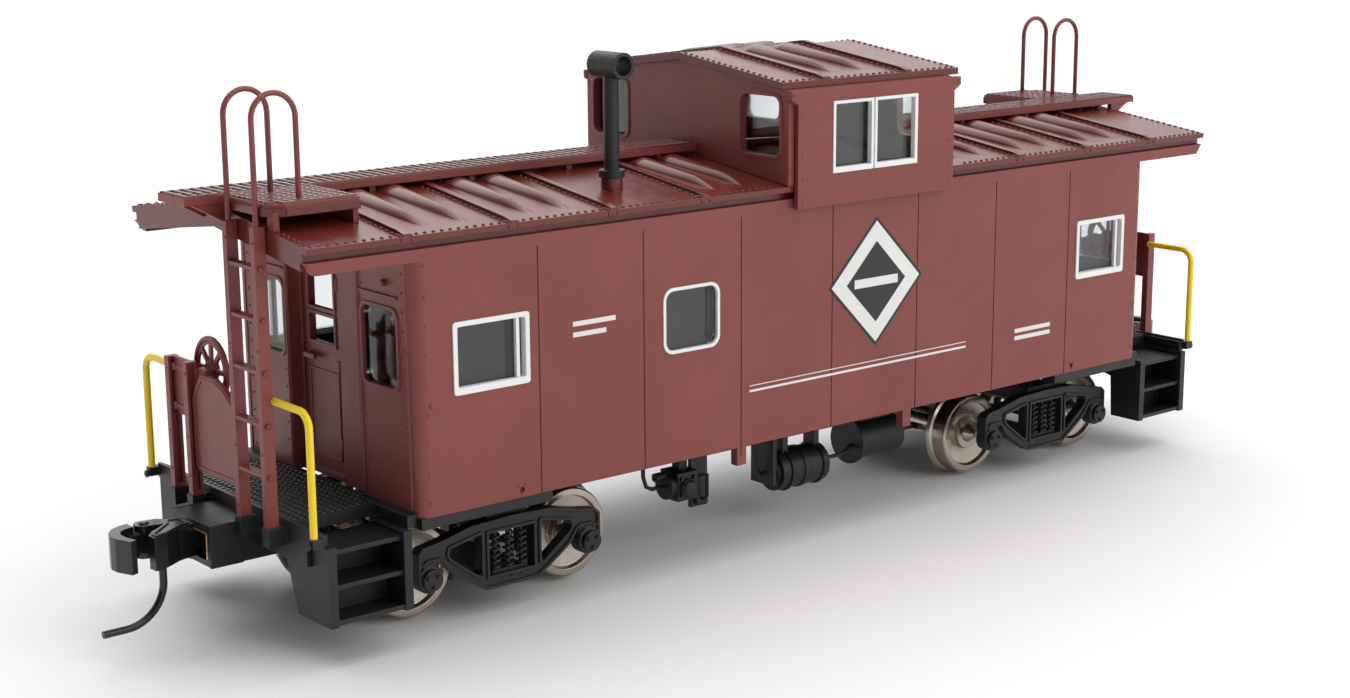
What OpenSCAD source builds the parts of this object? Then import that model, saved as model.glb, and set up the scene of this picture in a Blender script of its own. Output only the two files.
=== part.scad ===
// Wide-vision caboose, HO scale (1:87), built as its separate mouldings.
// +X runs along the car, +Z is up, z = 0 is the lowest point of the wheel flanges.
// End a is the -X end. End b is end a turned half a turn about Z.

/* [Body] */
// Length of the body over its end walls
body_l = 108.2; // [107:0.1:109]
// Width of the body over its side walls
body_w = 34.4; // [34.2:0.1:34.6]
// Height of the side walls' lower edge
sill_z = 13; // [12.9:0.1:13.1]
// Height of the letterboard's lower edge
letter_z = 38.1; // [38:0.1:38.3]
// Thickness of the side walls
wall = 1; // [0.8:0.1:1]
// Thickness of the end walls, which hold the door recess
end_wall = 2; // [1.8:0.1:2.2]

/* [Roof] */
// Half length of the roof, which covers both end platforms
roof_x = 65.5; // [65:0.1:65.5]
// Height of the eaves' upper edge
eave_z = 40.7; // [40.6:0.1:40.8]
// Rise of the roof for each millimetre towards the ridge
pitch = 0.13; // [0.12:0.005:0.135]
// Spacing of the roof battens
batten_step = 12.2; // [11.5:0.1:12.3]

/* [Cupola] */
// Lower X end of the cupola
cup_x0 = -6.8; // [-7.2:0.1:-6.4]
// Upper X end of the cupola
cup_x1 = 18.2; // [17.8:0.1:18.4]
// Width of the cupola over its side panels
cup_w = 36.2; // [36.1:0.1:36.6]
// Height of the cupola side panels' lower edge
cup_z0 = 38.2; // [38.1:0.1:38.4]
// Height of the cupola end walls at the eaves
cup_z1 = 50.9; // [50.5:0.1:51.2]

/* [End platforms] */
// Distance of the end beam's face from the car's centre
beam_x = 64.9; // [64.7:0.1:65.1]
// Height of the deck
deck_z = 13.4; // [13.3:0.1:13.5]
// Distance of the draft box's mouth from the car's centre
box_x = 69.7; // [69.5:0.1:69.8]

/* [Running gear] */
// Distance of each kingpin from the car's centre
truck_x = 41.1; // [41:0.1:41.3]
// Distance between the two axles of a truck
wheelbase = 19.8; // [19.6:0.1:20]
// Radius of the wheel tread
tread_r = 4.81; // [4.75:0.01:4.85]
// Depth of the wheel flange
flange = 0.64; // [0.6:0.01:0.65]
// Distance between the backs of the two wheels of a wheelset
back_to_back = 14.5; // [14.4:0.05:14.6]
// Height of the couplers' centre line
coupler_z = 10.57; // [10.5:0.01:10.6]

/* [Hidden] */
$fn = 48;

oxide = [0.51, 0.28, 0.27];
black = [0.16, 0.16, 0.16];
steel = [0.62, 0.56, 0.5];
yellow = [0.98, 0.84, 0.12];
white = [0.93, 0.93, 0.92];
clear = [0.8, 0.85, 0.88, 0.4];
bronze = [0.75, 0.5, 0.35];

eps = 0.01;
half_l = body_l / 2;
half_w = body_w / 2;
corner_r = 1.3;

// Letterboard, the dark groove above it, and the roof sheet
letter_top = 39.3;
letter_tip_x = 64.6;
eave_y = 17.5;
eave_drop = 0.6;
skirt_y = 16.6;
roof_t = 0.9;
ridge_z = eave_z + pitch * eave_y;
gable_t = 0.6;
gable_depth = 2;
batten_w = 0.8;
batten_h = 0.4;

// Side windows: three on each side, [centre x on the -Y side, width]
win_z0 = 24.6;
win_h = 7.2;
sliding_x = [-45.5, 45.9];
sliding_w = 9;
gasket_x = -20.1;
gasket_w = 7.7;
gasket_h = 7;
frame_t = 0.5;
frame_proud = 0.15;
glass_t = 0.5;
seam_x = [-39.8, -26.5, -13.2, 0.2, 13.6, 26.7, 39.9];
seam_w = 0.16;
seam_d = 0.12;

// End wall: the recess, the door and the two windows
recess_y = 6.7;
recess_d = 1;
door_y = 2.1;
door_w = 7.4;
door_z1 = 36.6;
door_t = 0.8;
end_win_y = 10.8;
end_win_w = 6.2;
end_win_z0 = 25.2;
end_win_h = 7.7;
rim_t = 0.35;
rim_proud = 0.14;

// Cupola
cup_t = 0.8;
panel_t = 0.55;
cup_y = cup_w / 2;
cup_mid = (cup_x0 + cup_x1) / 2;
cup_over = [0.4, 1.7];
cup_roof_y = 17;
cup_beam_t = 0.9;
panel_inset = 0.9;
cup_roof_t = 0.75;
ear = 1;
cup_win_x0 = -0.8;
cup_win_x1 = 12.2;
cup_win_z0 = 41.7;
cup_win_z1 = 49.5;
cup_end_win_y = 13.05;
cup_end_win_w = 6.3;
cup_end_win_z0 = 43.8;
cup_end_win_h = 6.4;

// Running boards
board_z0 = 43.3;
board_t = 0.75;
board_y = 2.7;
board_x = 69.8;
lateral_y = 11.9;
lateral_x = 56.4;
lateral_end_x = 65.9;
board_gap = 0.3;

// Smokejack
jack_x = -25.6;
jack_y = -11;
jack_pipe_r = 0.8;
jack_ring_r = 1.35;
jack_stub_r = 1.12;
jack_stub_z = 42.9;
jack_top_z = 53.4;
jack_cap_z = 54.4;
jack_cap_r = 1.38;
jack_cap_l = 4.4;

// End platform
deck_t = 1.2;
beam_t = 0.5;
beam_z0 = 9.8;
beam_y = 16.4;
well_y = 10.6;
step_y = 17.1;
step_z0 = 4.3;
step_x1 = 55.2;
plate_t = 0.9;
tread_z = [4.9, 8.3, 11.7];
tread_y0 = [13.2, 12.2, 10.9];
socket_z = 13;
post_x0 = 66.8;
post_x1 = 65.6;
post_t = 0.55;
post_y = [9.25, 5.4];
post_z1 = 26.6;
stile_t = 0.8;
stile_y = [-4.5, -9.8];
stile_z1 = 41.9;
rung_z = [18, 23, 28.1, 33.1, 38];
wire_r = 0.27;
hoop_x0 = 66.3;
hoop_x1 = 61.7;
hoop_top = 54.1;
grab_r = 0.37;
grab_y = 16.5;
grab_x = 65.5;
grab_z0 = 13.3;
grab_z1 = 25.3;
grab_bend = 1.6;
brake_wheel_r = 3.4;
brake_wheel_z = 25.8;
brake_wheel_y = 3.7;
brake_wheel_x = 64.6;

// Draft box and coupler
box_y = 3.95;
box_back_x = 58.9;
box_z0 = 8.2;
box_z1 = 12;
box_t = 0.6;
draft_post_x = 62.4;
draft_post_r = 1.1;
running_gap = 0.07;
shank_t = 1.8;
shank_y = 1.25;
head_x = 70;
head_h = 3.3;
lug_t = 0.6;
knuckle_px = 73.75;
knuckle_py = 1.8;
knuckle_pin_r = 0.36;
knuckle_r = 0.95;
trip_x = 73.3;
trip_y = -0.9;
trip_r = 0.38;
trip_bend = 4.1;
trip_straight = 1.85;
trip_tip = 2.4;
screw_r = 0.6;

// Underframe
floor_y = 16.1;
floor_z0 = 12.6;
floor_z1 = 14;
floor_x = 52;
strip_x = 38.4;
strip_z0 = 11.9;
strip_y = 17.1;
centre_sill_y = 2.2;
centre_sill_z0 = 9.6;
centre_sill_x = 33;
boss_r = 3.2;
boss_z0 = 11.5;
kingpin_r = 1;
kingpin_head_r = 1.7;

// Trucks
axle_z = tread_r + flange;
half_base = wheelbase / 2;
side_y0 = 12.3;
side_y1 = 13.5;
bolster_z0 = 8.7;
bolster_z1 = 11.4;
bolster_x = 2.5;
journal_r = 0.35;
axle_r = 1.1;
tip_y = 12.95;
cap_r = 1.1;
bearing_r = 1.5;
cap_t = 0.75;

function roof_top(y) = ridge_z - pitch * abs(y);
function cup_wall_top(y) = cup_z1 + pitch * (cup_y - abs(y));

// ---- shared shapes ----

module block(lo, hi) {
    translate(lo) cube(hi - lo);
}

module mirrored_y() {
    children();
    mirror([0, 1, 0]) children();
}

module mirrored_x() {
    children();
    mirror([1, 0, 0]) children();
}

// k = 0 leaves a part at end a, k = 1 turns it to end b
module at_end(k) {
    rotate([0, 0, 180 * k]) children();
}

// Prism of a Y-Z outline, from x0 to x1
module along_x(x0, x1, pts) {
    translate([x0, 0, 0]) rotate([90, 0, 90]) linear_extrude(x1 - x0) polygon(pts);
}

// Prism of an X-Z outline, from y0 to y1
module along_y(y0, y1, pts) {
    translate([0, y1, 0]) rotate([90, 0, 0]) linear_extrude(y1 - y0) polygon(pts);
}

module round_rect(l, w, r) {
    square([l - 2 * r, w], center = true);
    square([l, w - 2 * r], center = true);
    for (sx = [-1, 1], sy = [-1, 1])
        translate([sx * (l / 2 - r), sy * (w / 2 - r)]) circle(r, $fn = 32);
}

// Upright rounded opening or frame in a wall that faces Y
module window_y(x, y0, y1, z0, w, h, r) {
    translate([x, y1, z0 + h / 2]) rotate([90, 0, 0]) linear_extrude(y1 - y0) round_rect(w, h, r);
}

// The same in a wall that faces X
module window_x(x0, x1, y, z0, w, h, r) {
    translate([x0, y, z0 + h / 2]) rotate([90, 0, 90]) linear_extrude(x1 - x0) round_rect(w, h, r);
}

// Round bar between two points
module rod(p, q, r) {
    d = q - p;
    len = norm(d);
    translate(p) rotate([0, acos(d[2] / len), atan2(d[1], d[0])]) cylinder(len, r, r, $fn = 24);
}

// Ring segment of wire in the X-Z plane, from angle a0 round by sweep
module bend_xz(c, bend_r, r, a0, sweep) {
    translate(c) rotate([90, 0, 0]) rotate([0, 0, a0])
        rotate_extrude(angle = sweep, $fn = 48) translate([bend_r, 0]) circle(r, $fn = 24);
}

// ---- body ----

module side_window_cuts() {
    for (x = sliding_x)
        window_y(x, -half_w - 1, -half_w + wall + 1, win_z0, sliding_w, win_h, 0.35);
    window_y(gasket_x, -half_w - 1, -half_w + wall + 1, win_z0 + 0.1, gasket_w, gasket_h, 1.3);
}

module side_details_cuts() {
    for (x = seam_x)
        block([x - seam_w / 2, -half_w - 1, sill_z - 1], [x + seam_w / 2, -half_w + seam_d, letter_z]);
    for (x = [-42.2, 41.3])
        translate([x, -half_w + 0.3, sill_z + 0.8]) rotate([90, 0, 0]) cylinder(1, 0.3, 0.3);
}

// Openings of one end wall, drawn at end a
module end_wall_cuts() {
    block([-half_l - 1, -recess_y, sill_z - 1], [-half_l + recess_d, recess_y, ridge_z]);
    block([-half_l - 1, door_y - door_w / 2, sill_z - 1],
          [-half_l + end_wall + 1, door_y + door_w / 2, door_z1]);
    for (s = [-1, 1])
        window_x(-half_l - 1, -half_l + end_wall + 1, s * end_win_y, end_win_z0, end_win_w, end_win_h, 1);
    for (s = [-1, 1])
        translate([-half_l - 1, s * 12, 35.5]) rotate([0, 90, 0]) cylinder(2, 0.35, 0.35);
}

module letterboard() {
    for (s = [-1, 1])
        along_y(s > 0 ? half_w - wall : -half_w, s > 0 ? half_w : -half_w + wall,
                [[-letter_tip_x, letter_z], [letter_tip_x, letter_z],
                 [roof_x, letter_top], [-roof_x, letter_top]]);
}

// Gable that carries an end wall up to the underside of the roof
module end_gable() {
    y = skirt_y - roof_t - 0.1;
    top = roof_top(skirt_y) - roof_t - 0.04;
    along_x(-half_l, -half_l + end_wall, [
        [-y, letter_top - 1], [y, letter_top - 1], [y, top], [0, ridge_z - roof_t - 0.04], [-y, top]]);
}

module sill_tab(x) {
    block([x - 0.65, -half_w, sill_z - 2], [x + 0.65, -half_w + wall, sill_z + 1]);
}

module end_window_rim(s) {
    difference() {
        window_x(-half_l - rim_proud, -half_l + 0.5, s * end_win_y, end_win_z0 - rim_t,
                 end_win_w + 2 * rim_t, end_win_h + 2 * rim_t, 1.2);
        window_x(-half_l - 1, -half_l + 1, s * end_win_y, end_win_z0, end_win_w, end_win_h, 1);
    }
}

module body_shell() {
    color(oxide) difference() {
        union() {
            translate([0, 0, sill_z]) linear_extrude(letter_top - sill_z)
                round_rect(body_l, body_w, corner_r);
            letterboard();
            for (k = [0, 1], x = [-13.1, 12.3])
                at_end(k) sill_tab(x);
            for (k = [0, 1])
                at_end(k) {
                    end_gable();
                    end_window_rim(-1);
                    end_window_rim(1);
                }
        }
        block([-half_l + end_wall, -half_w + wall, sill_z - 1],
              [half_l - end_wall, half_w - wall, letter_top + 1]);
        for (k = [0, 1])
            at_end(k) {
                side_window_cuts();
                side_details_cuts();
                end_wall_cuts();
            }
    }
}

module roof_sheet(x0, x1) {
    under_z = eave_z - eave_drop;
    along_x(x0, x1, [
        [-eave_y, under_z], [-skirt_y, under_z], [-skirt_y, letter_top], [-skirt_y + roof_t, letter_top],
        [-skirt_y + roof_t, roof_top(skirt_y) - roof_t], [0, ridge_z - roof_t],
        [skirt_y - roof_t, roof_top(skirt_y) - roof_t], [skirt_y - roof_t, letter_top],
        [skirt_y, letter_top], [skirt_y, under_z], [eave_y, under_z], [eave_y, eave_z],
        [0, ridge_z], [-eave_y, eave_z]]);
}

// Board that closes the end of the roof over a platform
module gable_board() {
    y = half_w - wall - 0.05;
    top = roof_top(y) - 0.4;
    along_x(-roof_x, -roof_x + gable_t, [
        [-y, top - gable_depth], [0, ridge_z - 0.3 - gable_depth], [y, top - gable_depth],
        [y, top], [0, ridge_z - 0.3], [-y, top]]);
}

module batten(x, top_at, y_end, w, h) {
    along_x(x - w / 2, x + w / 2, [
        [-y_end, top_at[0] - 0.3], [0, top_at[1] - 0.3], [y_end, top_at[0] - 0.3],
        [y_end, top_at[0] + h * 0.6], [y_end - 1.2, top_at[0] + h + pitch * 1.2],
        [0, top_at[1] + h], [1.2 - y_end, top_at[0] + h + pitch * 1.2], [-y_end, top_at[0] + h * 0.6]]);
}

module main_roof() {
    color(oxide) difference() {
        union() {
            roof_sheet(-roof_x, roof_x);
            for (k = [0, 1])
                at_end(k) gable_board();
            for (k = [-4.5 : 1 : 4.5])
                if (k * batten_step < cup_x0 - 1 || k * batten_step > cup_x1 + 1)
                    batten(k * batten_step, [eave_z, ridge_z], eave_y, batten_w, batten_h);
            translate([jack_x, jack_y, roof_top(jack_y) - roof_t])
                cylinder(jack_stub_z - roof_top(jack_y) + roof_t, jack_stub_r, jack_stub_r);
        }
        block([cup_x0 + cup_t, -12, letter_top - 1], [cup_x1 - cup_t, 12, ridge_z + 1]);
        translate([jack_x, jack_y, jack_stub_z - 1.2]) cylinder(2, 0.55, 0.55);
    }
}

// ---- cupola ----

module cupola_side_panel() {
    x0 = cup_x0 + panel_inset;
    difference() {
        along_y(-cup_y, -cup_y + panel_t, [
            [x0, cup_z0], [cup_x1, cup_z0], [cup_x1, cup_z1 - 1.5], [cup_x1 + ear, cup_z1 - 0.9],
            [cup_x1 + ear, cup_z1], [x0 - ear, cup_z1], [x0 - ear, cup_z1 - 0.9], [x0, cup_z1 - 1.5]]);
        block([cup_win_x0, -cup_y - 1, cup_win_z0], [cup_win_x1, -cup_y + cup_t + 1, cup_win_z1]);
    }
}

// Beam behind the top of a side panel, which carries the roof
module cupola_wall_beam() {
    y0 = cup_y - panel_t;
    y1 = y0 - cup_beam_t;
    along_x(cup_x0, cup_x1, [
        [-y0, cup_win_z1 + 0.6], [-y1, cup_win_z1 + 0.6], [-y1, cup_wall_top(y1)], [-y0, cup_wall_top(y0)]]);
}

module cupola_end_wall(x) {
    y = cup_y - panel_t;
    difference() {
        along_x(x, x + cup_t, [
            [-y, eave_z + 0.05], [0, ridge_z + 0.05], [y, eave_z + 0.05],
            [y, cup_wall_top(y)], [0, cup_wall_top(0)], [-y, cup_wall_top(y)]]);
        for (s = [-1, 1])
            window_x(x - 1, x + cup_t + 1, s * cup_end_win_y, cup_end_win_z0,
                     cup_end_win_w, cup_end_win_h, 1);
    }
}

module cupola_end_rim(x0, x1, s) {
    difference() {
        window_x(x0, x1, s * cup_end_win_y, cup_end_win_z0 - rim_t,
                 cup_end_win_w + 2 * rim_t, cup_end_win_h + 2 * rim_t, 1.2);
        window_x(x0 - 1, x1 + 1, s * cup_end_win_y, cup_end_win_z0, cup_end_win_w, cup_end_win_h, 1);
    }
}

module cupola_shell() {
    color(oxide) {
        mirrored_y() cupola_side_panel();
        mirrored_y() cupola_wall_beam();
        cupola_end_wall(cup_x0);
        cupola_end_wall(cup_x1 - cup_t);
        for (s = [-1, 1]) {
            cupola_end_rim(cup_x0 - rim_proud, cup_x0 + 0.4, s);
            cupola_end_rim(cup_x1 - 0.4, cup_x1 + rim_proud, s);
        }
    }
}

module cupola_roof() {
    low = cup_wall_top(cup_roof_y);
    peak = cup_wall_top(0);
    color(oxide) {
        along_x(cup_x0 - cup_over[0], cup_x1 + cup_over[1], [
            [-cup_roof_y, low], [0, peak], [cup_roof_y, low], [cup_roof_y, low + cup_roof_t],
            [0, peak + cup_roof_t], [-cup_roof_y, low + cup_roof_t]]);
        for (x = [-0.9, 11.8])
            batten(x, [low + cup_roof_t, peak + cup_roof_t], cup_roof_y, batten_w, batten_h);
    }
}

// ---- roof fittings ----

// Foot that stands a running board on the roof
module board_foot(x) {
    block([x - 0.35, -board_y + 0.5, ridge_z - 1], [x + 0.35, -board_y + 1.1, board_z0 + eps]);
    block([x - 0.35, board_y - 1.1, ridge_z - 1], [x + 0.35, board_y - 0.5, board_z0 + eps]);
}

module running_board(inner_x, feet) {
    difference() {
        union() {
            block([-board_x, -board_y, board_z0], [-inner_x, board_y, board_z0 + board_t]);
            translate([0, 0, board_z0]) linear_extrude(board_t) polygon([
                [-lateral_end_x, -board_y + 1], [-lateral_x, -board_y + 1], [-lateral_x, -lateral_y],
                [-lateral_end_x + 1.6, -lateral_y], [-lateral_end_x, -lateral_y + 1.4]]);
            for (x = feet)
                board_foot(x);
            block([-lateral_x - 0.6, -lateral_y + 0.3, roof_top(lateral_y) - 0.2],
                  [-lateral_x, -board_y + 1, board_z0 + eps]);
            block([-roof_x + 0.1, -lateral_y + 0.4, roof_top(lateral_y) - 0.2],
                  [-roof_x + 0.7, -lateral_y + 1.6, board_z0 + eps]);
            mirrored_y() along_y(-2.4, -1.8, [[-board_x + 0.8, board_z0 + eps], [-roof_x - 0.05, 41.4],
                                              [-roof_x - 0.05, board_z0 + eps]]);
        }
        along_x(-roof_x, 1, [[-eave_y, 30], [eave_y, 30], [eave_y, eave_z], [0, ridge_z],
                             [-eave_y, eave_z]]);
        for (y = stile_y)
            translate([-hoop_x1, y, board_z0 - 1]) cylinder(3, wire_r + 0.02, wire_r + 0.02);
    }
}

module running_board_a() {
    color(oxide) running_board(-cup_x0 + board_gap, [for (x = [-63.5, -49, -37, -24.5, -12]) x]);
}

module running_board_b() {
    color(oxide) at_end(1) running_board(cup_x1 + board_gap, [for (x = [-63.5, -49, -37, -24.5]) x]);
}

module smokejack() {
    color(black) {
        difference() {
            translate([jack_x, jack_y, jack_stub_z])
                cylinder(jack_top_z - jack_stub_z, jack_pipe_r, jack_pipe_r);
            translate([jack_x, jack_y + 3, jack_cap_z]) rotate([90, 0, 0]) cylinder(6, 1, 1);
        }
        translate([jack_x, jack_y, jack_stub_z]) cylinder(0.75, jack_ring_r, jack_ring_r);
        translate([jack_x, jack_y, jack_stub_z - 1.1]) cylinder(1.2, 0.5, 0.5);
        translate([jack_x, jack_y, jack_cap_z]) rotate([90, 0, 0]) difference() {
            translate([0, 0, -jack_cap_l / 2]) cylinder(jack_cap_l, jack_cap_r, jack_cap_r);
            translate([0, 0, -jack_cap_l]) cylinder(2 * jack_cap_l, 1, 1);
        }
    }
}

// ---- windows and doors ----

// Frame of a sliding sash window, on the -Y side
module sliding_frame(x) {
    y0 = -half_w - frame_proud;
    y1 = -half_w + 0.7;
    difference() {
        window_y(x, y0, y1, win_z0, sliding_w, win_h, 0.35);
        window_y(x, y0 - 1, y1 + 1, win_z0 + frame_t + 0.2, sliding_w - 2 * frame_t,
                 win_h - 2 * frame_t - 0.2, 0.2);
    }
    block([x + sliding_w / 2 - 1.5, y0 + 0.2, win_z0 + frame_t],
          [x + sliding_w / 2 - 1.1, y1, win_z0 + win_h - frame_t]);
}

module sliding_window_frames() {
    color(white) for (k = [0, 1], x = sliding_x)
        at_end(k) sliding_frame(x);
}

module fixed_window_gaskets() {
    y0 = -half_w - 0.1;
    y1 = -half_w + 0.6;
    color(white) for (k = [0, 1])
        at_end(k) difference() {
            window_y(gasket_x, y0, y1, win_z0 + 0.1, gasket_w, gasket_h, 1.3);
            window_y(gasket_x, y0 - 1, y1 + 1, win_z0 + 0.45, gasket_w - 0.7, gasket_h - 0.7, 1);
        }
}

// Pair of sliding sashes in a cupola side panel, on the -Y side
module cupola_sash_pair() {
    y0 = -cup_y - 0.12;
    y1 = -cup_y + 0.5;
    mid = 5.4;
    h = cup_win_z1 - cup_win_z0;
    difference() {
        block([cup_win_x0, y0, cup_win_z0], [cup_win_x1, y1, cup_win_z1]);
        block([cup_win_x0 + 0.35, y0 - 1, cup_win_z0 + 0.6], [mid - 0.45, y1 + 1, cup_win_z1 - 0.35]);
        block([mid + 0.45, y0 - 1, cup_win_z0 + 0.6], [cup_win_x1 - 0.45, y1 + 1, cup_win_z1 - 0.35]);
        block([mid - 0.12, y0 - 1, cup_win_z0 - 1], [mid + 0.12, y0 + 0.25, cup_win_z0 + h + 1]);
    }
}

module cupola_window_frames() {
    color(white) mirrored_y() cupola_sash_pair();
}

// Clear strip behind one side wall, with a pane standing in each window
module glazing_strip() {
    y1 = -half_w + wall + glass_t;
    block([-51, -half_w + wall, win_z0 - 1], [51, y1, win_z0 + win_h + 1]);
    for (x = sliding_x)
        block([x - sliding_w / 2 + frame_t, -half_w + 0.45, win_z0 + frame_t + 0.2],
              [x + sliding_w / 2 - 1.5, -half_w + wall, win_z0 + win_h - frame_t]);
    window_y(gasket_x, -half_w + 0.25, -half_w + wall, win_z0 + 0.45, gasket_w - 0.7, gasket_h - 0.7, 1);
}

module side_glazing() {
    color(clear) for (k = [0, 1])
        at_end(k) glazing_strip();
}

module end_glazing() {
    x1 = -half_l + end_wall;
    color(clear) for (k = [0, 1])
        at_end(k) for (s = [-1, 1]) {
            window_x(-half_l + 0.3, x1, s * end_win_y, end_win_z0, end_win_w, end_win_h, 1);
            block([x1, s * end_win_y - 3.6, end_win_z0 - 0.8],
                  [x1 + glass_t, s * end_win_y + 3.6, end_win_z0 + end_win_h + 0.8]);
        }
}

module cupola_glazing() {
    y = cup_y - panel_t;
    color(clear) {
        mirrored_y() block([cup_win_x0 - 0.6, -y, cup_win_z0 - 0.5],
                           [cup_win_x1 + 0.6, -y + glass_t, cup_win_z1 + 0.5]);
        for (s = [-1, 1], x = [cup_x0 + cup_t, cup_x1 - cup_t - glass_t])
            block([x, s * cup_end_win_y - 3.5, cup_end_win_z0 - 0.25],
                  [x + glass_t, s * cup_end_win_y + 3.5, cup_end_win_z0 + cup_end_win_h + 0.25]);
    }
}

// Door leaf of end a, with its two lights, lever and sill
module door_leaf() {
    x0 = -half_l + recess_d + 0.3;
    lo = door_y - door_w / 2;
    hi = door_y + door_w / 2;
    difference() {
        block([x0, lo, sill_z], [x0 + door_t, hi, door_z1]);
        block([x0 - 1, lo + 1.2, 30.6], [x0 + door_t + 1, hi - 1, 35.2]);
        block([x0 - 1, lo + 1.2, 27], [x0 + door_t + 1, hi - 1, 30.1]);
    }
    translate([x0 - 0.7, hi - 1.1, 25.6]) rotate([0, 90, 0]) cylinder(0.8, 0.25, 0.25);
    block([x0 - 0.8, hi - 2.9, 25.35], [x0 - 0.4, hi - 0.9, 25.85]);
    block([x0 - 0.35, lo, deck_z], [x0, hi, deck_z + 0.35]);
}

module end_door_a() {
    color(oxide) door_leaf();
}

module end_door_b() {
    color(oxide) at_end(1) door_leaf();
}

// ---- underframe ----

module underframe() {
    color(black) difference() {
        union() {
            block([-floor_x, -floor_y, floor_z0], [floor_x, floor_y, floor_z1]);
            for (sx = [-1, 1], sy = [-1, 1]) {
                x0 = sx > 0 ? strip_x : -half_l + 0.1;
                y0 = sy > 0 ? floor_y - 1 : -strip_y;
                block([x0, y0, strip_z0], [x0 + half_l - strip_x - 0.1, y0 + strip_y - floor_y + 1, sill_z]);
            }
            block([-centre_sill_x, -centre_sill_y, centre_sill_z0], [centre_sill_x, centre_sill_y, floor_z0]);
            block([-centre_sill_x, -centre_sill_y - 1, centre_sill_z0],
                  [centre_sill_x, centre_sill_y + 1, centre_sill_z0 + 0.6]);
            for (x = [-truck_x, truck_x]) {
                block([x - bolster_x, -11, boss_z0 + 0.4], [x + bolster_x, 11, floor_z0]);
                translate([x, 0, boss_z0]) cylinder(floor_z1 - boss_z0, boss_r, boss_r);
            }
        }
        for (x = [-truck_x, truck_x])
            translate([x, 0, boss_z0 - 1]) cylinder(6, kingpin_r, kingpin_r);
    }
}

module ballast_weight() {
    color(steel) block([-36, -13, floor_z1], [36, 13, floor_z1 + 2.4]);
}

// Shouldered screws that the trucks turn on
module kingpin_screws() {
    head_z1 = bolster_z0 - 0.12;
    color(black) for (x = [-truck_x, truck_x])
        translate([x, 0, 0]) {
            translate([0, 0, head_z1 - eps]) cylinder(floor_z1 - head_z1, kingpin_r, kingpin_r);
            translate([0, 0, head_z1 - 0.9]) difference() {
                cylinder(0.9, kingpin_head_r, kingpin_head_r);
                block([-kingpin_head_r - 1, -0.2, -1], [kingpin_head_r + 1, 0.2, 0.4]);
            }
        }
}

// ---- end platforms ----

module end_platform() {
    difference() {
        union() {
            block([-beam_x, -well_y, deck_z - deck_t], [-half_l, well_y, deck_z]);
            block([-beam_x, -beam_y, deck_z - deck_t], [-beam_x + 0.9, beam_y, deck_z]);
            block([-step_x1, -beam_y, deck_z - deck_t], [-half_l, beam_y, deck_z]);
            block([-beam_x, -beam_y, deck_z], [-beam_x + 0.4, beam_y, deck_z + 0.25]);
            along_x(-beam_x, -beam_x + beam_t, [
                [-14, beam_z0], [14, beam_z0], [14, beam_z0 + 2], [beam_y, beam_z0 + 2.4],
                [beam_y, deck_z], [-beam_y, deck_z], [-beam_y, beam_z0 + 2.4], [-14, beam_z0 + 2]]);
            block([-box_x, -box_y, box_z1], [-beam_x, box_y, box_z1 + 0.4]);
            for (y = concat(post_y, stile_y))
                block([-post_x0 - 0.1, y - 0.6, 11.2], [-beam_x, y + 0.6, socket_z]);
            mirrored_y() block([-grab_x - 0.42, grab_y - 0.42, 12.4], [-beam_x + 0.2, grab_y + 0.5, grab_z0]);
        }
        block([-box_x - 1, -box_y, 0], [-half_l - 2, box_y, box_z1]);
    }
}

module end_platform_a() {
    color(black) end_platform();
}

module end_platform_b() {
    color(black) at_end(1) end_platform();
}

// Steps of one corner, drawn on the -Y side of end a
module corner_steps() {
    x0 = -beam_x + beam_t;
    x1 = -step_x1;
    along_x(x0, x0 + plate_t, [
        [-8.2, 12.2], [-8.2, 10], [-9.2, 9.5], [-11.1, step_z0], [-step_y, step_z0], [-step_y, 12.2]]);
    along_x(x1 - plate_t, x1, [
        [-10.9, 12.2], [-10.9, 9.8], [-12.3, 9.5], [-12.6, step_z0], [-step_y, step_z0], [-step_y, 12.2]]);
    for (i = [0 : 2])
        block([x0 + plate_t - eps, -step_y + 0.15 + 0.25 * i, tread_z[i] - 0.45],
              [x1 - plate_t + eps, -tread_y0[i], tread_z[i]]);
    for (i = [0 : 1])
        block([x0 + plate_t - eps, -tread_y0[i] - 0.45, tread_z[i] - eps],
              [x1 - plate_t + eps, -tread_y0[i], tread_z[i + 1] - 0.2]);
}

module corner_steps_a() {
    color(black) mirrored_y() corner_steps();
}

module corner_steps_b() {
    color(black) at_end(1) mirrored_y() corner_steps();
}

// Channel post that opens towards -Y
module railing_post(y) {
    difference() {
        block([-post_x0, y - 0.55, socket_z], [-post_x1, y + 0.3, post_z1]);
        block([-post_x0 + 0.3, y - 1, socket_z + 0.4], [-post_x1 - 0.3, y - 0.1, post_z1 - 0.3]);
    }
}

module end_railing() {
    for (y = post_y)
        railing_post(y);
    block([-post_x1 - 0.6, post_y[1], 20.8], [-post_x1 - 0.2, post_y[0], 26.6]);
    along_x(-post_x1 - 0.6, -post_x1 - 0.1, [
        [-4.1, 15.6], [5.2, 15.6], [5.2, 23.2], [3.2, 25.6], [0.2, 25.6], [-1.5, 25], [-4.1, 23.4]]);
    block([-post_x1 - 0.1, brake_wheel_y - 0.9, brake_wheel_z - 3.2],
          [-brake_wheel_x - 0.35, brake_wheel_y + 0.9, brake_wheel_z + 0.2]);
    block([-post_x1 - 0.2, brake_wheel_y - 0.9, brake_wheel_z - 3.2],
          [-post_x1, post_y[1], brake_wheel_z + 0.2]);
}

module end_railing_a() {
    color(oxide) end_railing();
}

module end_railing_b() {
    color(oxide) at_end(1) end_railing();
}

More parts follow.
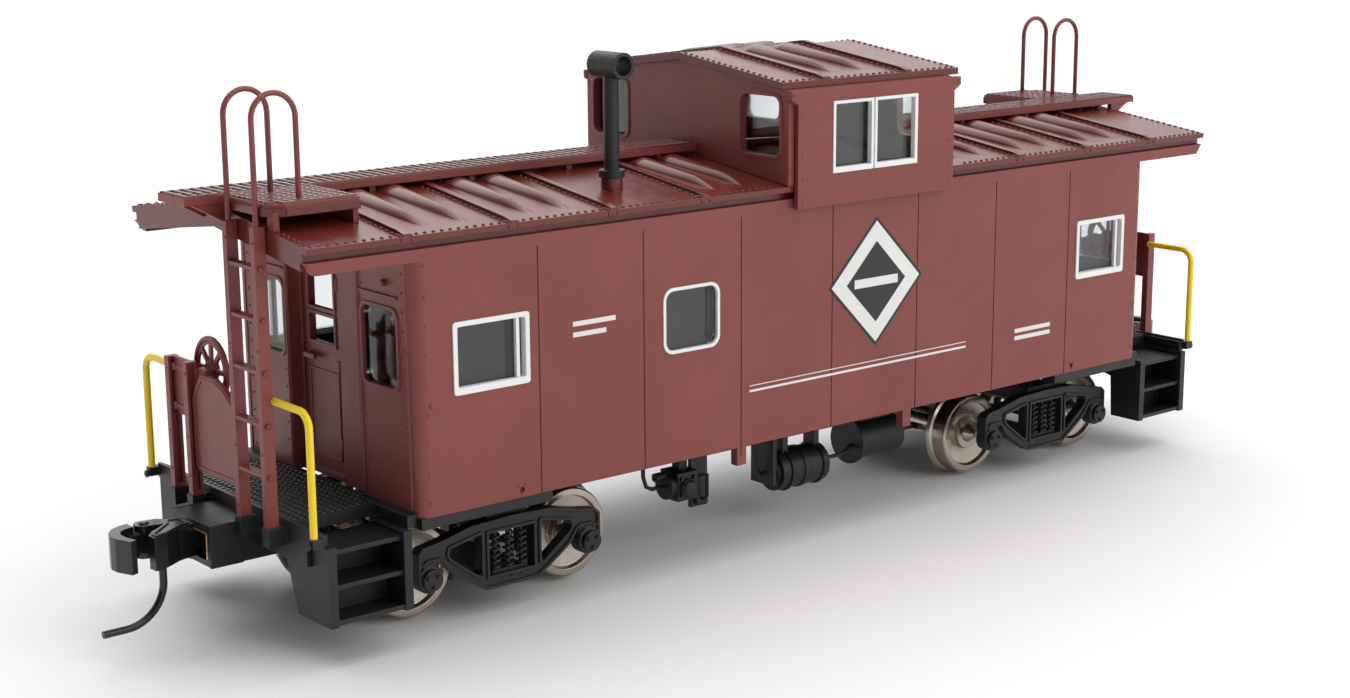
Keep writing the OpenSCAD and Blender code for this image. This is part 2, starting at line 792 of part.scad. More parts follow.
module brake_wheel() {
    translate([-brake_wheel_x, brake_wheel_y, brake_wheel_z]) rotate([0, 90, 0]) {
        rotate_extrude() translate([brake_wheel_r - 0.3, 0]) circle(0.3, $fn = 24);
        rotate_extrude() translate([brake_wheel_r - 0.85, -0.12]) square([0.5, 0.24]);
        translate([0, 0, -0.35]) cylinder(0.8, 0.9, 0.9);
        for (a = [0 : 45 : 315])
            rotate([0, 0, a]) block([0.6, -0.24, -0.15], [brake_wheel_r - 0.6, 0.24, 0.15]);
    }
}

module brake_wheel_a() {
    color(oxide) brake_wheel();
}

module brake_wheel_b() {
    color(oxide) at_end(1) brake_wheel();
}

module ladder() {
    hoop_r = (hoop_x0 - hoop_x1) / 2;
    mid_x = -(hoop_x0 + hoop_x1) / 2;
    for (y = stile_y) {
        block([-post_x0, y - stile_t / 2, socket_z], [-post_x1, y + stile_t / 2, stile_z1]);
        translate([-hoop_x0, y, stile_z1 - 1]) cylinder(hoop_top - hoop_r - stile_z1 + 1, wire_r, wire_r);
        bend_xz([mid_x, y, hoop_top - hoop_r], hoop_r - eps, wire_r, 0, 180);
        translate([-hoop_x1, y, board_z0 + 0.1]) cylinder(hoop_top - hoop_r - board_z0 - 0.1, wire_r, wire_r);
    }
    for (z = rung_z)
        block([-post_x0 + 0.05, stile_y[1] - 0.1, z - 0.17], [-post_x1 - 0.15, stile_y[0] + 0.1, z + 0.17]);
}

module ladder_a() {
    color(oxide) ladder();
}

module ladder_b() {
    color(oxide) at_end(1) ladder();
}

// Bent grab iron from a corner lug to a rail at rail_y
module grab_iron(rail_y) {
    bend_y = grab_y - grab_bend;
    translate([-grab_x, grab_y, grab_z0])
        cylinder(grab_z1 - grab_bend - grab_z0, grab_r, grab_r, $fn = 24);
    translate([-grab_x, bend_y, grab_z1 - grab_bend]) rotate([90, 0, 90])
        rotate_extrude(angle = 90, $fn = 48) translate([grab_bend, 0]) circle(grab_r, $fn = 24);
    translate([-grab_x, rail_y, grab_z1]) rotate([-90, 0, 0])
        cylinder(bend_y - rail_y, grab_r, grab_r, $fn = 24);
}

module grab_iron_pair() {
    grab_iron(post_y[0] + 0.3);
    mirror([0, 1, 0]) grab_iron(-stile_y[1] + stile_t / 2);
}

module grab_irons_a() {
    color(yellow) grab_iron_pair();
}

module grab_irons_b() {
    color(yellow) at_end(1) grab_iron_pair();
}

// ---- draft gear and couplers ----

module draft_box() {
    difference() {
        block([-box_x, -box_y, box_z0], [-box_back_x, box_y, box_z1]);
        block([-box_x - 1, -box_y + box_t, box_z0 + box_t],
              [-box_back_x - box_t, box_y - box_t, box_z1 - 0.4]);
    }
    translate([-draft_post_x, 0, box_z0]) cylinder(box_z1 - box_z0, draft_post_r, draft_post_r);
}

module bored_draft_box() {
    difference() {
        draft_box();
        translate([-draft_post_x, 0, box_z0 - 1]) cylinder(4, screw_r, screw_r);
    }
}

module draft_box_a() {
    color(black) bored_draft_box();
}

module draft_box_b() {
    color(black) at_end(1) bored_draft_box();
}

// Bronze leaf that lines the draft box and centres the shank
module centring_spring() {
    y = box_y - box_t;
    mirrored_y() block([-box_x + 0.1, y - 0.22, coupler_z - 1.1], [-60, y - 0.02, coupler_z + 0.95]);
    block([-60.2, -y + 0.02, coupler_z - 1.1], [-60, y - 0.02, coupler_z + 0.95]);
}

module centring_spring_a() {
    color(bronze) centring_spring();
}

module centring_spring_b() {
    color(bronze) at_end(1) centring_spring();
}

module draft_box_screws() {
    color(steel) for (k = [0, 1])
        at_end(k) translate([-draft_post_x, 0, box_z0]) {
            translate([0, 0, -0.5]) difference() {
                cylinder(0.5, 1.15, 1.15);
                block([-2, -0.15, -1], [2, 0.15, 0.2]);
            }
            translate([0, 0, -eps]) cylinder(2.5, screw_r, screw_r);
        }
}

// Shank and head of a coupler; the knuckle hangs between the head's two lugs
module coupler() {
    z0 = coupler_z - head_h / 2;
    difference() {
        union() {
            translate([-draft_post_x, 0, coupler_z - shank_t / 2]) cylinder(shank_t, 2.05, 2.05);
            block([-head_x - 0.5, -shank_y, coupler_z - shank_t / 2],
                  [-draft_post_x, shank_y, coupler_z + shank_t / 2]);
            translate([0, 0, z0]) linear_extrude(head_h) polygon([
                [-head_x, -1.3], [-head_x, 1.3], [-71.4, 1.7], [-72.35, 2.05], [-72.35, 0.35], [-73.4, -0.5],
                [-74.3, -1.1], [-75.2, -2.2], [-75.1, -3.35], [-73.6, -2.85], [-71.8, -1.75]]);
            for (z = [z0, z0 + head_h - lug_t])
                translate([0, 0, z]) linear_extrude(lug_t) {
                    translate([-knuckle_px, knuckle_py]) circle(knuckle_r + 0.05);
                    polygon([[-71.4, 1.7], [-72.25, 0.45], [-knuckle_px, knuckle_py - knuckle_r],
                             [-knuckle_px, knuckle_py + knuckle_r], [-72.25, 2.5]]);
                }
            translate([-knuckle_px, knuckle_py, z0]) cylinder(head_h, knuckle_pin_r, knuckle_pin_r);
        }
        translate([-draft_post_x, 0, 0])
            cylinder(20, draft_post_r + running_gap, draft_post_r + running_gap);
    }
}

module coupler_a() {
    color(black) coupler();
}

module coupler_b() {
    color(black) at_end(1) coupler();
}

module knuckle() {
    z0 = coupler_z - head_h / 2;
    difference() {
        union() {
            translate([0, 0, z0 + lug_t + 0.12]) linear_extrude(head_h - 2 * lug_t - 0.24) {
                translate([-knuckle_px, knuckle_py]) circle(knuckle_r);
                polygon([[-knuckle_px, knuckle_py - knuckle_r], [-knuckle_px, knuckle_py + knuckle_r],
                         [-75.6, 2.7], [-75.6, 0.85]]);
            }
            translate([0, 0, z0]) linear_extrude(head_h) polygon([
                [-75, 2.75], [-76.1, 2.55], [-77.1, 1.95], [-77.8, 1], [-78.15, -0.1], [-78.1, -1.1],
                [-77.35, -2.95], [-76.65, -2.65], [-77.05, -1.3], [-77.05, -0.2], [-76.7, 0.7],
                [-76, 1.2], [-75, 1.4]]);
        }
        translate([-knuckle_px, knuckle_py, 0])
            cylinder(20, knuckle_pin_r + running_gap, knuckle_pin_r + running_gap);
    }
}

module knuckle_a() {
    color(black) knuckle();
}

module knuckle_b() {
    color(black) at_end(1) knuckle();
}

// Steel wire under the head: straight down, a bend forwards, and a level tip
module trip_pin() {
    bend_z = coupler_z - head_h / 2 - trip_straight;
    translate([-trip_x, trip_y, bend_z]) cylinder(trip_straight, trip_r, trip_r, $fn = 24);
    bend_xz([-trip_x - trip_bend, trip_y, bend_z], trip_bend, trip_r, -90, 90);
    translate([-trip_x - trip_bend, trip_y, bend_z - trip_bend]) rotate([0, -90, 0])
        cylinder(trip_tip, trip_r, trip_r, $fn = 24);
}

module trip_pin_a() {
    color(black) trip_pin();
}

module trip_pin_b() {
    color(black) at_end(1) trip_pin();
}

// ---- brake gear under the floor ----

module air_tank() {
    y = -8.5;
    z = 6.2;
    r = 2.3;
    color(black) {
        translate([-0.9, y, z]) rotate([0, 90, 0]) cylinder(7.2, r, r);
        for (x = [-1.4, 6.3])
            translate([x, y, z]) rotate([0, 90, 0]) cylinder(0.5, r - 0.5, r - 0.5);
        translate([2.4, y, z]) rotate([0, 90, 0]) cylinder(0.7, r + 0.15, r + 0.15);
        for (x = [0.1, 5])
            block([x, y - 0.9, z + 1], [x + 0.8, y + 0.9, floor_z0]);
    }
}

module brake_cylinder() {
    y = -6.6;
    z = 7;
    color(black) {
        translate([13.5, y, z]) rotate([0, 90, 0]) cylinder(7, 2.4, 2.4);
        translate([13.1, y, z]) rotate([0, 90, 0]) cylinder(0.5, 2.8, 2.8);
        translate([20.4, y, z]) rotate([0, 90, 0]) cylinder(4.2, 0.4, 0.4);
        block([24, y - 1.2, z - 0.25], [24.9, y + 3, z + 0.25]);
        block([14.6, y - 0.8, z + 1.5], [19.6, y + 0.8, floor_z0]);
    }
}

module control_valve() {
    y = -8.5;
    color(black) {
        block([-13.4, y - 0.5, 4.4], [-11, y, floor_z0]);
        block([-13, y - 1.1, 4.8], [-11.4, y - 0.4, 8]);
        block([-16.2, y - 1.6, 5.8], [-13.3, y + 1.4, 9]);
        translate([-16.9, y, 7.4]) rotate([0, 90, 0]) cylinder(0.9, 1.5, 1.5);
        translate([-14.8, y - 2, 7.2]) rotate([-90, 0, 0]) cylinder(4, 1.1, 1.1);
        translate([-18.2, y, 8.6]) rotate([0, 90, 0]) cylinder(2.2, 0.5, 0.5);
        block([-15.2, y - 0.6, 8.9], [-14, y + 0.6, floor_z0]);
    }
}

// ---- trucks, drawn about the kingpin ----

side_outline = [
    [0, 10.1], [5, 9.9], [8.4, 9.1], [10.8, 8.7], [11.3, 8.2], [11.3, 5.9], [10.8, 5.6], [10.7, 7],
    [10.4, 7.3], [8.9, 7.3], [8.3, 7], [7.6, 5.9], [6.6, 5.1], [3.3, 2.9]
];

module side_profile() {
    n = len(side_outline);
    polygon(concat(side_outline, [for (i = [n - 1 : -1 : 1]) [-side_outline[i][0], side_outline[i][1]]]));
}

module journal_bore(s) {
    translate([s * half_base, side_y0 - 1, axle_z]) rotate([-90, 0, 0])
        cylinder(tip_y - side_y0 + 1.1, journal_r + running_gap, journal_r + running_gap);
}

module side_frame() {
    difference() {
        translate([0, side_y1, 0]) rotate([90, 0, 0]) linear_extrude(side_y1 - side_y0) difference() {
            side_profile();
            translate([-2.8, 4.2]) square([5.6, 4.5]);
            for (m = [0, 1])
                mirror([m, 0]) polygon([
                    [3.9, 8.8], [3.7, 8.5], [3.7, 4.7], [4.1, 4.5], [7.3, 6.9], [7.6, 7.5], [7.4, 8.1]]);
        }
        for (s = [-1, 1])
            journal_bore(s);
    }
    for (s = [-1, 1])
        difference() {
            union() {
                translate([s * half_base, side_y0, axle_z]) rotate([-90, 0, 0])
                    cylinder(side_y1 - side_y0, bearing_r, bearing_r);
                block([s * half_base - 1.2, side_y0 + 0.1, axle_z + 0.8],
                      [s * half_base + 1.2, side_y1 - 0.1, axle_z + 2.1]);
            }
            journal_bore(s);
        }
}

module truck_frame() {
    difference() {
        union() {
            mirrored_y() side_frame();
            block([-bolster_x, -side_y0 - 0.4, bolster_z0], [bolster_x, side_y0 + 0.4, bolster_z1 - 0.9]);
            translate([0, 0, bolster_z0]) cylinder(bolster_z1 - bolster_z0, 3.2, 3.2);
            block([-2.4, -side_y1, 3.4], [2.4, side_y1, 4.21]);
        }
        translate([0, 0, bolster_z0 - 1])
            cylinder(6, kingpin_r + running_gap, kingpin_r + running_gap);
    }
}

module bearing_caps() {
    mirrored_y() mirrored_x() translate([half_base, side_y1, axle_z]) rotate([-90, 0, 0]) {
        cylinder(cap_t, cap_r, cap_r);
        for (a = [90, 210, 330])
            rotate([0, 0, a]) translate([0.68, 0, cap_t - eps]) cylinder(0.25, 0.22, 0.22);
    }
}

module truck_springs() {
    mirrored_y() for (x = [-1.6, 0, 1.6])
        translate([x, (side_y0 + side_y1) / 2, 4.21]) cylinder(bolster_z0 - 4.21, 0.6, 0.6);
}

module truck_frame_a() {
    color(black) translate([-truck_x, 0, 0]) truck_frame();
}

module truck_frame_b() {
    color(black) translate([truck_x, 0, 0]) truck_frame();
}

module bearing_caps_a() {
    color(black) translate([-truck_x, 0, 0]) bearing_caps();
}

module bearing_caps_b() {
    color(black) translate([truck_x, 0, 0]) bearing_caps();
}

module truck_springs_a() {
    color(black) translate([-truck_x, 0, 0]) truck_springs();
}

module truck_springs_b() {
    color(black) translate([truck_x, 0, 0]) truck_springs();
}

// ---- wheelsets, drawn about the axle's middle ----

axle_x = [-truck_x - half_base, -truck_x + half_base, truck_x - half_base, truck_x + half_base];

module axle(n) {
    end_y = back_to_back / 2 + 2.5;
    color(steel) translate([axle_x[n - 1], 0, axle_z]) {
        rotate([90, 0, 0]) translate([0, 0, -end_y]) cylinder(2 * end_y, axle_r, axle_r);
        for (s = [-1, 1])
            rotate([90 * s, 0, 0]) {
                translate([0, 0, end_y]) cylinder(1, axle_r, journal_r);
                translate([0, 0, end_y + 1 - eps]) cylinder(tip_y - end_y - 1, journal_r, journal_r);
            }
    }
}

module wheel_pair(n) {
    b = back_to_back / 2;
    fr = tread_r + flange;
    color(steel) translate([axle_x[n - 1], 0, axle_z]) mirrored_y() rotate([-90, 0, 0])
        rotate_extrude($fn = 96) polygon([
            [axle_r, b], [1.9, b], [2.1, b + 0.8], [3.9, b + 1.1], [4.1, b], [fr - 0.2, b], [fr, b + 0.3],
            [fr - 0.2, b + 0.65], [tread_r + 0.1, b + 0.85], [tread_r, b + 2.65], [tread_r - 0.15, b + 2.79],
            [4.05, b + 2.79], [3.9, b + 2.2], [2.1, b + 1.8], [1.9, b + 2.4], [axle_r, b + 2.4]]);
}

module axle_1() {
    axle(1);
}

module axle_2() {
    axle(2);
}

module axle_3() {
    axle(3);
}

module axle_4() {
    axle(4);
}

module wheels_1() {
    wheel_pair(1);
}

module wheels_2() {
    wheel_pair(2);
}

module wheels_3() {
    wheel_pair(3);
}

module wheels_4() {
    wheel_pair(4);
}

body_shell();
main_roof();
cupola_shell();
cupola_roof();
running_board_a();
running_board_b();
smokejack();
sliding_window_frames();
fixed_window_gaskets();
cupola_window_frames();
side_glazing();
end_glazing();
cupola_glazing();
end_door_a();
end_door_b();
underframe();
ballast_weight();
kingpin_screws();
end_platform_a();
end_platform_b();
corner_steps_a();
corner_steps_b();
end_railing_a();
end_railing_b();
brake_wheel_a();
brake_wheel_b();
ladder_a();
ladder_b();
grab_irons_a();
grab_irons_b();
draft_box_a();
draft_box_b();
centring_spring_a();
centring_spring_b();
draft_box_screws();
air_tank();
brake_cylinder();
control_valve();
coupler_a();
coupler_b();
trip_pin_a();
trip_pin_b();
knuckle_a();
knuckle_b();
truck_frame_a();
truck_frame_b();
bearing_caps_a();
bearing_caps_b();
truck_springs_a();
truck_springs_b();
axle_1();
wheels_1();
axle_2();
wheels_2();
axle_3();
wheels_3();
axle_4();
wheels_4();
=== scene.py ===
"""Looks of the model caboose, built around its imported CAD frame."""
import math

import bmesh
import bpy
from mathutils import Matrix, Vector


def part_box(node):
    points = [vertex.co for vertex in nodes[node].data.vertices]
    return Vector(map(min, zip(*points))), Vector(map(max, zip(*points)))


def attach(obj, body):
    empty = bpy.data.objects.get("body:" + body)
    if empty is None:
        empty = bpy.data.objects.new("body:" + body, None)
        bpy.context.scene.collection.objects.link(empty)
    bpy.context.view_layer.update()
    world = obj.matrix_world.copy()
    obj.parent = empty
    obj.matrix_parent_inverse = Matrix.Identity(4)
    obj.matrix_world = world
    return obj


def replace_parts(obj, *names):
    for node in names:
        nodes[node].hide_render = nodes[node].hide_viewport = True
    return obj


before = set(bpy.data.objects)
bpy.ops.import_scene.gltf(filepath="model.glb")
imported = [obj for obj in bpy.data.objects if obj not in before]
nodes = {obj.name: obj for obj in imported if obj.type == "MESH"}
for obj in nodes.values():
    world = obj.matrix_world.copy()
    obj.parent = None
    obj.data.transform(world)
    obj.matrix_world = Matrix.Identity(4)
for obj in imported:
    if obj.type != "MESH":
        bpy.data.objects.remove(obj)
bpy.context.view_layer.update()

MM = 0.001

# ---------------------------------------------------------------- dimensions, in millimetres


def box_mm(node):
    """Lowest and highest corner of a CAD node, in millimetres."""
    lo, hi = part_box(node)
    return lo / MM, hi / MM


_, roof_hi = box_mm("main_roof")
cup_lo, cup_hi = box_mm("cupola_roof")
shell_lo, shell_hi = box_mm("cupola_shell")

# Roofs: slope, eave, ridge, and the battens over the seams between panels
PITCH = 0.13
EAVE_Y = 17.5
EAVE_Z = 40.7
RIDGE_Z = EAVE_Z + PITCH * EAVE_Y
ROOF_X = roof_hi.x
PANEL_W = 12.2
BATTENS = [PANEL_W * k for k in (-4.5, -3.5, -2.5, -1.5, 2.5, 3.5, 4.5)]
BATTEN_H = 0.4
CUP_BATTENS = [-0.9, 11.8]
CUP_ROOF_Y = cup_hi.y
CUP_PEAK = cup_hi.z - BATTEN_H
SMOKEJACK_X = -25.6

# Body: half length and half width of the walls, the recessed doors, and the cupola's side panels
HALF_L = 54.1
HALF_W = 17.2
DOOR_X = -52.8
PANEL_X = (-5.9, 18.2)
PANEL_Y = 18.1

# Running boards and their lateral platforms
BOARD_TOP = 44.05
BOARD_X = 69.8
BOARD_HALF_W = 2.55
LATERAL_X = (56.4, 65.9)
LATERAL_Y = 11.9
TREAD_STEP = 1.02

# End platforms: deck, railing posts, ladder stiles and rungs, brake staff, draft box mouth
DECK_Z = 13.4
RAIL_X = -66.8
GATE_X = -66.2
POSTS = (9.25, 5.4)
STILES = (-4.5, -9.8)
RUNGS = (18.0, 23.0, 28.1, 33.1, 38.0)
STAFF_X = -65.25
STAFF_Y = 3.7
BOX_MOUTH_X = -69.7
BOX_BACK_X = -66.2

# Trucks and wheels
TRUCK_X = 41.1
HALF_BASE = 9.9
AXLE_Z = 5.45
SIDE_FRAME_Y = -13.5

# Underbody: the floor's underside, and the line of the brake equipment
FLOOR_Z = 12.4
BRAKE_Y = -8.5
PIPE_R = 0.24


def roof_z(y):
    return RIDGE_Z - PITCH * abs(y)


def cup_z(y):
    return CUP_PEAK - PITCH * abs(y)


# ---------------------------------------------------------------- materials


def new_material(name):
    mat = bpy.data.materials.new(name)
    mat.use_nodes = True
    tree = mat.node_tree
    tree.nodes.clear()
    out = tree.nodes.new("ShaderNodeOutputMaterial")
    bsdf = tree.nodes.new("ShaderNodeBsdfPrincipled")
    tree.links.new(bsdf.outputs["BSDF"], out.inputs["Surface"])
    return mat, tree, bsdf


def node(tree, kind, **settings):
    made = tree.nodes.new(kind)
    for key, value in settings.items():
        setattr(made, key, value)
    return made


def noise(tree, coords, scale, detail=3.0, rough=0.55):
    made = node(tree, "ShaderNodeTexNoise")
    made.inputs["Scale"].default_value = scale
    made.inputs["Detail"].default_value = detail
    made.inputs["Roughness"].default_value = rough
    tree.links.new(coords, made.inputs["Vector"])
    return made.outputs["Fac"]


def remap(tree, value, lo, hi, to_lo, to_hi):
    made = node(tree, "ShaderNodeMapRange")
    for key, number in zip(("From Min", "From Max", "To Min", "To Max"), (lo, hi, to_lo, to_hi)):
        made.inputs[key].default_value = number
    tree.links.new(value, made.inputs["Value"])
    return made.outputs["Result"]


def mix_colour(tree, fac, a, b, blend="MIX"):
    made = node(tree, "ShaderNodeMix", data_type="RGBA", blend_type=blend)
    for socket, value in ((made.inputs[0], fac), (made.inputs[6], a), (made.inputs[7], b)):
        if isinstance(value, bpy.types.NodeSocket):
            tree.links.new(value, socket)
        else:
            socket.default_value = value
    return made.outputs[2]


def maths(tree, operation, a, b=0.0):
    made = node(tree, "ShaderNodeMath", operation=operation)
    for socket, value in ((made.inputs[0], a), (made.inputs[1], b)):
        if isinstance(value, bpy.types.NodeSocket):
            tree.links.new(value, socket)
        else:
            socket.default_value = value
    return made.outputs[0]


def bump(tree, height, strength, distance, normal=None):
    made = node(tree, "ShaderNodeBump")
    made.inputs["Strength"].default_value = strength
    made.inputs["Distance"].default_value = distance
    tree.links.new(height, made.inputs["Height"])
    if normal is not None:
        tree.links.new(normal, made.inputs["Normal"])
    return made.outputs["Normal"]


def rgba(colour, gain=1.0):
    return (*[min(1.0, c * gain) for c in colour], 1.0)


def edge_mask(tree, radius):
    """1 along edges and 0 on flat surfaces, for edges lightened by wear and painted highlight; and the
    rounded normal.
    """
    rounded = node(tree, "ShaderNodeBevel", samples=6)
    rounded.inputs["Radius"].default_value = radius
    geometry = node(tree, "ShaderNodeNewGeometry")
    dot = node(tree, "ShaderNodeVectorMath", operation="DOT_PRODUCT")
    tree.links.new(rounded.outputs["Normal"], dot.inputs[0])
    tree.links.new(geometry.outputs["Normal"], dot.inputs[1])
    return remap(tree, dot.outputs["Value"], 0.72, 0.98, 1.0, 0.0), rounded.outputs["Normal"]


def moulded(name, colour, rough=0.42, edge_wear_and_highlight=1.5, edge=0.12, spread=0.10):
    """Painted or self-coloured moulded plastic: slight mottling, fine spray texture, and soft lighter edges
    that are partly wear and partly painted highlight.
    """
    mat, tree, bsdf = new_material(name)
    coords = node(tree, "ShaderNodeTexCoord").outputs["Object"]
    broad = noise(tree, coords, 95.0, 4.0)
    fine = noise(tree, coords, 1500.0, 3.0, 0.6)
    dust = noise(tree, coords, 420.0, 6.0, 0.7)
    mask, normal = edge_mask(tree, edge * MM)
    tone = mix_colour(tree, remap(tree, broad, 0.3, 0.7, 0.0, 1.0),
                      rgba(colour, 1 - spread), rgba(colour, 1 + spread))
    speck = mix_colour(tree, remap(tree, dust, 0.62, 0.80, 0.0, 0.35), tone, rgba(colour, 1.35))
    # Lighter edges: partly wear, partly a painted highlight where edges would catch the light.
    edged = mix_colour(tree, maths(tree, "MULTIPLY", mask, 0.55), speck, rgba(colour, edge_wear_and_highlight))
    tree.links.new(edged, bsdf.inputs["Base Color"])
    tree.links.new(remap(tree, dust, 0.3, 0.7, rough - 0.05, rough + 0.07), bsdf.inputs["Roughness"])
    tree.links.new(bump(tree, fine, 0.22, 0.00003, normal), bsdf.inputs["Normal"])
    return mat


def metal(name, colour, rough, centre=None):
    """Turned or plated metal. With a centre (x, z) it shows fine lathe rings round that axle."""
    mat, tree, bsdf = new_material(name)
    coords = node(tree, "ShaderNodeTexCoord").outputs["Object"]
    stain = noise(tree, coords, 260.0, 5.0, 0.6)
    mask, normal = edge_mask(tree, 0.1 * MM)
    tone = mix_colour(tree, remap(tree, stain, 0.3, 0.7, 0.0, 1.0), rgba(colour, 0.82), rgba(colour, 1.1))
    # Lighter edges on the metal: partly wear, partly a painted highlight.
    bright = mix_colour(tree, maths(tree, "MULTIPLY", mask, 0.5), tone, rgba(colour, 1.4))
    tree.links.new(bright, bsdf.inputs["Base Color"])
    bsdf.inputs["Metallic"].default_value = 1.0
    tree.links.new(remap(tree, stain, 0.3, 0.7, rough - 0.06, rough + 0.1), bsdf.inputs["Roughness"])
    if centre is None:
        height = noise(tree, coords, 2600.0, 2.0)
    else:
        split = node(tree, "ShaderNodeSeparateXYZ")
        tree.links.new(coords, split.inputs[0])
        dx = maths(tree, "SUBTRACT", split.outputs["X"], centre[0] * MM)
        dz = maths(tree, "SUBTRACT", split.outputs["Z"], centre[1] * MM)
        radius = maths(tree, "SQRT", maths(tree, "ADD", maths(tree, "MULTIPLY", dx, dx),
                                          maths(tree, "MULTIPLY", dz, dz)))
        height = maths(tree, "SINE", maths(tree, "MULTIPLY", radius, 38000.0))
    tree.links.new(bump(tree, height, 0.10, 0.00002, normal), bsdf.inputs["Normal"])
    return mat


def clear_plastic(name):
    mat, tree, bsdf = new_material(name)
    coords = node(tree, "ShaderNodeTexCoord").outputs["Object"]
    smear = noise(tree, coords, 220.0, 3.0)
    bsdf.inputs["Base Color"].default_value = (0.80, 0.83, 0.84, 1.0)
    bsdf.inputs["Transmission Weight"].default_value = 1.0
    bsdf.inputs["IOR"].default_value = 1.49
    bsdf.inputs["Specular IOR Level"].default_value = 0.85
    tree.links.new(remap(tree, smear, 0.35, 0.7, 0.01, 0.06), bsdf.inputs["Roughness"])
    tree.links.new(bump(tree, smear, 0.05, 0.0001), bsdf.inputs["Normal"])
    return mat


OXIDE = (0.220, 0.045, 0.036)
# The roofs take a darker, glossier copy of the body's oxide: the darker colour is painted shade for the
# weaker light on top.
ROOF_OXIDE_SHADED = (0.135, 0.019, 0.012)
BLACK = (0.009, 0.009, 0.010)
oxide = moulded("oxide_paint", OXIDE, rough=0.42)
roof_oxide_shaded = moulded("roof_oxide_painted_shade", ROOF_OXIDE_SHADED, rough=0.24, edge_wear_and_highlight=1.6, edge=0.14)
black = moulded("black_plastic", BLACK, rough=0.46, edge_wear_and_highlight=3.0, spread=0.2)
black_gloss = moulded("black_coupler", BLACK, rough=0.26, edge_wear_and_highlight=2.5, spread=0.2)
yellow = moulded("yellow_paint", (0.97, 0.68, 0.012), rough=0.34, edge_wear_and_highlight=1.1, spread=0.04)
white = moulded("white_frame_paint", (0.86, 0.86, 0.85), rough=0.35, edge_wear_and_highlight=1.05, spread=0.02)
decal = moulded("white_marking", (0.80, 0.80, 0.78), rough=0.5, edge_wear_and_highlight=1.0, spread=0.03, edge=0.02)
decal_dark = moulded("dark_marking", (0.02, 0.02, 0.022), rough=0.5, edge_wear_and_highlight=1.0, spread=0.1, edge=0.02)
clear = clear_plastic("clear_styrene")
bronze = metal("phosphor_bronze", (0.72, 0.40, 0.22), 0.25)
steel = metal("zinc_steel", (0.50, 0.50, 0.52), 0.35)
screw_black = metal("blackened_steel", (0.07, 0.07, 0.07), 0.35)
AXLES = [truck + side for truck in (-TRUCK_X, TRUCK_X) for side in (-HALF_BASE, HALF_BASE)]

LOOKS = {
    "main_roof": roof_oxide_shaded, "cupola_roof": roof_oxide_shaded,
    "body_shell": oxide, "cupola_shell": oxide, "running_board": oxide, "end_door": oxide,
    "end_railing": oxide, "brake_wheel": oxide, "ladder": oxide,
    "sliding_window_frames": white, "fixed_window_gaskets": white, "cupola_window_frames": white,
    "side_glazing": clear, "end_glazing": clear, "cupola_glazing": clear,
    "grab_irons": yellow, "centring_spring": bronze, "ballast_weight": steel,
    "kingpin_screws": screw_black, "draft_box_screws": screw_black,
    "coupler": black_gloss, "knuckle": black_gloss, "trip_pin": black_gloss,
}
for number, axle_x in enumerate(AXLES, 1):
    turned = metal(f"turned_wheel_{number}", (0.52, 0.45, 0.38), 0.20, (axle_x, AXLE_Z))
    LOOKS[f"axle_{number}"] = turned
    LOOKS[f"wheels_{number}"] = turned


def look_of(name):
    for key in sorted(LOOKS, key=len, reverse=True):
        if name.startswith(key):
            return LOOKS[key]
    return black


def dress(obj, mat):
    obj.data.materials.clear()
    obj.data.materials.append(mat)


for name, obj in nodes.items():
    dress(obj, look_of(name))

# ---------------------------------------------------------------- mesh helpers, in millimetres


BOX_FACES = [(3, 2, 1, 0), (4, 5, 6, 7), (0, 1, 5, 4), (1, 2, 6, 5), (2, 3, 7, 6), (3, 0, 4, 7)]


def place(bm, verts, faces):
    made = [bm.verts.new(v) for v in verts]
    for f in faces:
        bm.faces.new([made[i] for i in f])


def frustum(bm, lo, hi, inset):
    """Box from corner lo to corner hi, whose top is smaller all round by inset."""
    (x0, y0, z0), (x1, y1, z1) = lo, hi
    corners = [(x, y, z) for z, d in ((z0, 0.0), (z1, inset))
               for x, y in ((x0 + d, y0 + d), (x1 - d, y0 + d), (x1 - d, y1 - d), (x0 + d, y1 - d))]
    place(bm, corners, BOX_FACES)


def slab(bm, lo, hi):
    """Box from corner lo to corner hi."""
    frustum(bm, lo, hi, 0.0)


def circle(side, up, segs):
    """Unit vectors all round, in the plane of side and up."""
    turns = [2 * math.pi * k / segs for k in range(segs)]
    return [side * math.cos(a) + up * math.sin(a) for a in turns]


def across(normal):
    """The unit normal, and two directions at right angles to it."""
    n = Vector(normal).normalized()
    side = n.orthogonal().normalized()
    return n, side, n.cross(side)


def ring_faces(count, segs, closed=False):
    """Faces between rings of segs points each, capped at both ends unless the rings close on themselves."""
    faces = []
    for i in range(count if closed else count - 1):
        j = (i + 1) % count
        for k in range(segs):
            m = (k + 1) % segs
            faces.append((i * segs + k, i * segs + m, j * segs + m, j * segs + k))
    if not closed:
        faces.append(tuple(reversed(range(segs))))
        faces.append(tuple((count - 1) * segs + k for k in range(segs)))
    return faces


def dome(bm, centre, normal, r, h, segs=8):
    """Rivet head on a surface: three rings that narrow upwards, the lowest one sunk in the surface."""
    n, side, up = across(normal)
    c = Vector(centre)
    rings = ((1.0, -0.25), (0.95, 0.35), (0.55, 0.85))
    spokes = circle(side, up, segs)
    verts = [c + n * (h * lift) + spoke * (r * wide) for wide, lift in rings for spoke in spokes]
    verts += [c + n * h, c - n * (h * 0.25)]
    faces = []
    for ring in range(2):
        for k in range(segs):
            a, b = ring * segs + k, ring * segs + (k + 1) % segs
            faces.append((a, b, b + segs, a + segs))
    for k in range(segs):
        faces.append((2 * segs + k, 2 * segs + (k + 1) % segs, 3 * segs))
        faces.append(((k + 1) % segs, k, 3 * segs + 1))
    place(bm, verts, faces)


